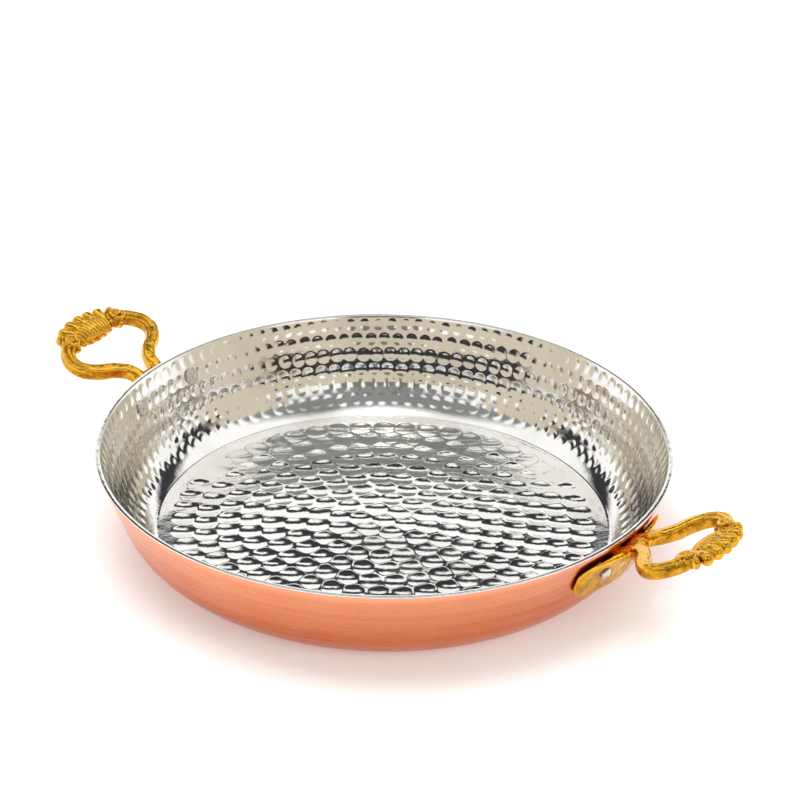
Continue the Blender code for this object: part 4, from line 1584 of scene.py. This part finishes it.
def floor(studio):
    """A pale floor, which shows the shadow and glows a little where camera and metal see it."""
    shape = bmesh.new()
    bmesh.ops.create_grid(shape, x_segments=1, y_segments=1, size=FLOOR_HALF_WIDTH)
    obj = object_from("studio_floor", shape)
    material = bpy.data.materials.new("pale_floor")
    material.use_nodes = True
    tree = material.node_tree
    make = Maker(tree)
    path = make.node("ShaderNodeLightPath")
    seen = path.output("Is Camera Ray") + path.output("Is Glossy Ray") + path.output("Is Transmission Ray")
    shader = tree.nodes["Principled BSDF"]
    shader.inputs["Base Color"].default_value = (*studio.floor_colour, 1.0)
    shader.inputs["Roughness"].default_value = FLOOR_ROUGHNESS
    shader.inputs["Specular IOR Level"].default_value = 0.0
    shader.inputs["Emission Color"].default_value = (1.0, 1.0, 1.0, 1.0)
    tree.links.new((seen.clamped() * studio.floor_glow).socket, shader.inputs["Emission Strength"])
    obj.data.materials.append(material)


def by_elevation(make, elevation, *bands):
    """Tones by elevation, each given with the angle at which it is reached."""
    stops = [(0.5 + degrees / 180.0, tone) for degrees, tone in bands]
    return make.node("ShaderNodeValToRGB", {"stops": stops}, {"Fac": elevation / HALF_TURN + 0.5})


def within(make, angle, band):
    """1 where an angle lies in a band, and 0 outside it."""
    first, last, softness = band
    rise = make.stretch(angle, math.radians(first - softness), math.radians(first + softness))
    return rise * (1 - make.stretch(angle, math.radians(last - softness), math.radians(last + softness)))


def world(studio):
    """What the metal mirrors: a white table, a dark room beyond it and at the camera, and white overhead.

    aside is 0 towards the camera, opposite is 0 away from it, and the tones are given by elevation.
    """
    sky = bpy.data.worlds.new("studio")
    bpy.context.scene.world = sky
    sky.use_nodes = True
    tree = sky.node_tree
    make = Maker(tree)
    way = make.node("ShaderNodeTexCoord").output("Generated")
    upright = {"rotation_type": "Z_AXIS"}
    turned = make.node("ShaderNodeVectorRotate", upright, {"Vector": way, "Angle": -studio.azimuth})
    parts = make.node("ShaderNodeSeparateXYZ", None, {0: turned})
    elevation = parts.output("Z").maths("ARCSINE", parts.output("Z"))
    aside = parts.output("X").maths("ARCTAN2", parts.output("X"), 0 - parts.output("Y"))
    opposite = parts.output("X").maths("ARCTAN2", parts.output("X"), parts.output("Y"))
    white, room, dark = studio.white, studio.room, studio.dark
    ceiling, lamp_tone = studio.ceiling, studio.overhead
    low = ((-90.0, white), (1.0, white))
    high = ((50.0, ceiling), (74.0, ceiling), (81.0, white), (86.0, lamp_tone))
    overhead = ((60.0, white), (80.0, white), (86.0, lamp_tone))
    behind = tuple(BEHIND_SHARE * value for value in room)
    round_about = by_elevation(
        make, elevation, (-90.0, white), (22.0, white), (26.0, dark), (34.0, dark), (39.0, white), *overhead
    )
    far_room = by_elevation(
        make, elevation, (-90.0, white), (29.8, white), (30.4, dark), (54.0, dark), *overhead
    )
    window = by_elevation(
        make, elevation, (0.0, dark), (35.4, dark), (36.2, white), (40.2, white), (41.4, dark)
    )
    far = make.blend(within(make, opposite, FAR_ROOM_BAND), round_about, far_room)
    in_window = within(make, opposite, WINDOW_BAND) * within(make, elevation, WINDOW_HEIGHT_BAND)
    far = make.blend(in_window, far, window)
    shade = ((3.0, dark), (12.2, dark), (13.4, room), (25.0, room))
    plain = by_elevation(make, elevation, *low, (3.0, room), (44.0, room), *high)
    shadow = by_elevation(make, elevation, *low, *shade, (44.0, room), *high)
    screens = by_elevation(make, elevation, *low, *shade, (28.0, white), (44.0, white), *high)
    middle = by_elevation(make, elevation, *low, *shade, (28.0, behind), (44.0, behind), *high)
    near = make.blend(within(make, aside, SHADOW_BAND), plain, shadow)
    near = make.blend(within(make, aside, SCREENS_BAND), near, screens)
    near = make.blend(within(make, aside, MIDDLE_BAND), near, middle)
    facing = make.stretch(parts.output("Y"), -FACING_EDGE, FACING_EDGE)
    seen = make.blend(facing, near, far)
    path = make.node("ShaderNodeLightPath")
    seen = make.blend(path.output("Is Camera Ray"), seen, (1.0, 1.0, 1.0))
    background = tree.nodes["Background"]
    tree.links.new(seen.socket, background.inputs["Color"])


def lamp(name, power, size, place, target):
    """A soft area lamp that the metal doesn't mirror, aimed at its target."""
    data = bpy.data.lights.new(name, "AREA")
    data.energy = power
    data.shape = "RECTANGLE"
    data.size, data.size_y = size
    obj = bpy.data.objects.new(name, data)
    bpy.context.scene.collection.objects.link(obj)
    obj.visible_glossy = False
    obj.location = place
    obj.rotation_euler = (target - place).to_track_quat("-Z", "Y").to_euler()


def camera(studio, pan):
    """The camera, aimed as the photograph was."""
    tilt = studio.elevation
    back = Vector((0.0, -math.cos(tilt), math.sin(tilt)))
    right = Vector((1.0, 0.0, 0.0))
    up = Vector((0.0, math.sin(tilt), math.cos(tilt)))
    forward = -back
    turn = Matrix.Rotation(studio.aim_right, 3, up)
    forward, right = turn @ forward, turn @ right
    turn = Matrix.Rotation(studio.aim_up, 3, right)
    forward, up = turn @ forward, turn @ up
    turn = Matrix.Rotation(studio.roll, 3, forward)
    right, up = turn @ right, turn @ up
    view = Matrix((right, up, -forward)).transposed().to_4x4()
    view.translation = back * studio.distance
    data = bpy.data.cameras.new("camera")
    data.lens = studio.lens
    data.clip_end = VIEW_DEPTH
    obj = bpy.data.objects.new("camera", data)
    bpy.context.scene.collection.objects.link(obj)
    rim_middle = Matrix.Translation((0.0, 0.0, pan.height))
    obj.matrix_world = rim_middle @ Matrix.Rotation(studio.azimuth, 4, "Z") @ view
    bpy.context.scene.camera = obj


class FRYINGPAN_OT_studio(bpy.types.Operator):
    """Makes the floor, the light and the camera"""

    bl_idname = "fryingpan.studio"
    bl_label = "Studio"

    def execute(self, context):
        studio, pan = settings().studio, settings().pan
        context.scene.view_settings.view_transform = "Standard"
        floor(studio)
        world(studio)
        away = Matrix.Rotation(studio.azimuth, 3, "Z")
        lamp("soft_light", studio.soft_light, SOFT_LIGHT_SIZE, away @ SOFT_LIGHT_PLACE, SOFT_LIGHT_TARGET)
        lamp("side_light", studio.side_light, SIDE_LIGHT_SIZE, away @ SIDE_LIGHT_PLACE, SIDE_LIGHT_TARGET)
        camera(studio, pan)
        return {"FINISHED"}


# Add-on

class FRYINGPAN_PT_sidebar(bpy.types.Panel):
    """Settings and buttons in the sidebar"""

    bl_label = "Frying Pan"
    bl_idname = "FRYINGPAN_PT_sidebar"
    bl_space_type = "VIEW_3D"
    bl_region_type = "UI"
    bl_category = "Frying Pan"

    def draw(self, context):
        for group_name in ("pan", "hammer", "handle", "rivet", "finish", "studio"):
            group = getattr(settings(), group_name)
            box = self.layout.box()
            box.label(text=group_name.title())
            for key in group.__annotations__:
                box.prop(group, key)
        for operator in OPERATORS:
            self.layout.operator(operator.bl_idname)


GROUPS = (PanSizes, HammerSizes, HandleSizes, RivetSizes, Finishes, StudioSettings, FryingPanSettings)
OPERATORS = (
    FRYINGPAN_OT_copper,
    FRYINGPAN_OT_tin_coat,
    FRYINGPAN_OT_handles,
    FRYINGPAN_OT_rivets,
    FRYINGPAN_OT_studio,
)


def register():
    for item in (*GROUPS, *OPERATORS, FRYINGPAN_PT_sidebar):
        bpy.utils.register_class(item)
    bpy.types.Scene.frying_pan = PointerProperty(type=FryingPanSettings)


def unregister():
    del bpy.types.Scene.frying_pan
    for item in (FRYINGPAN_PT_sidebar, *OPERATORS[::-1], *GROUPS[::-1]):
        bpy.utils.unregister_class(item)


def main():
    register()
    bpy.ops.fryingpan.copper()
    bpy.ops.fryingpan.tin_coat()
    bpy.ops.fryingpan.handles()
    bpy.ops.fryingpan.rivets()
    bpy.ops.fryingpan.studio()
    marks = bpy.data.objects.get("hammer_marks")
    if marks:
        bpy.data.objects.remove(marks)


if __name__ == "__main__":
    main()
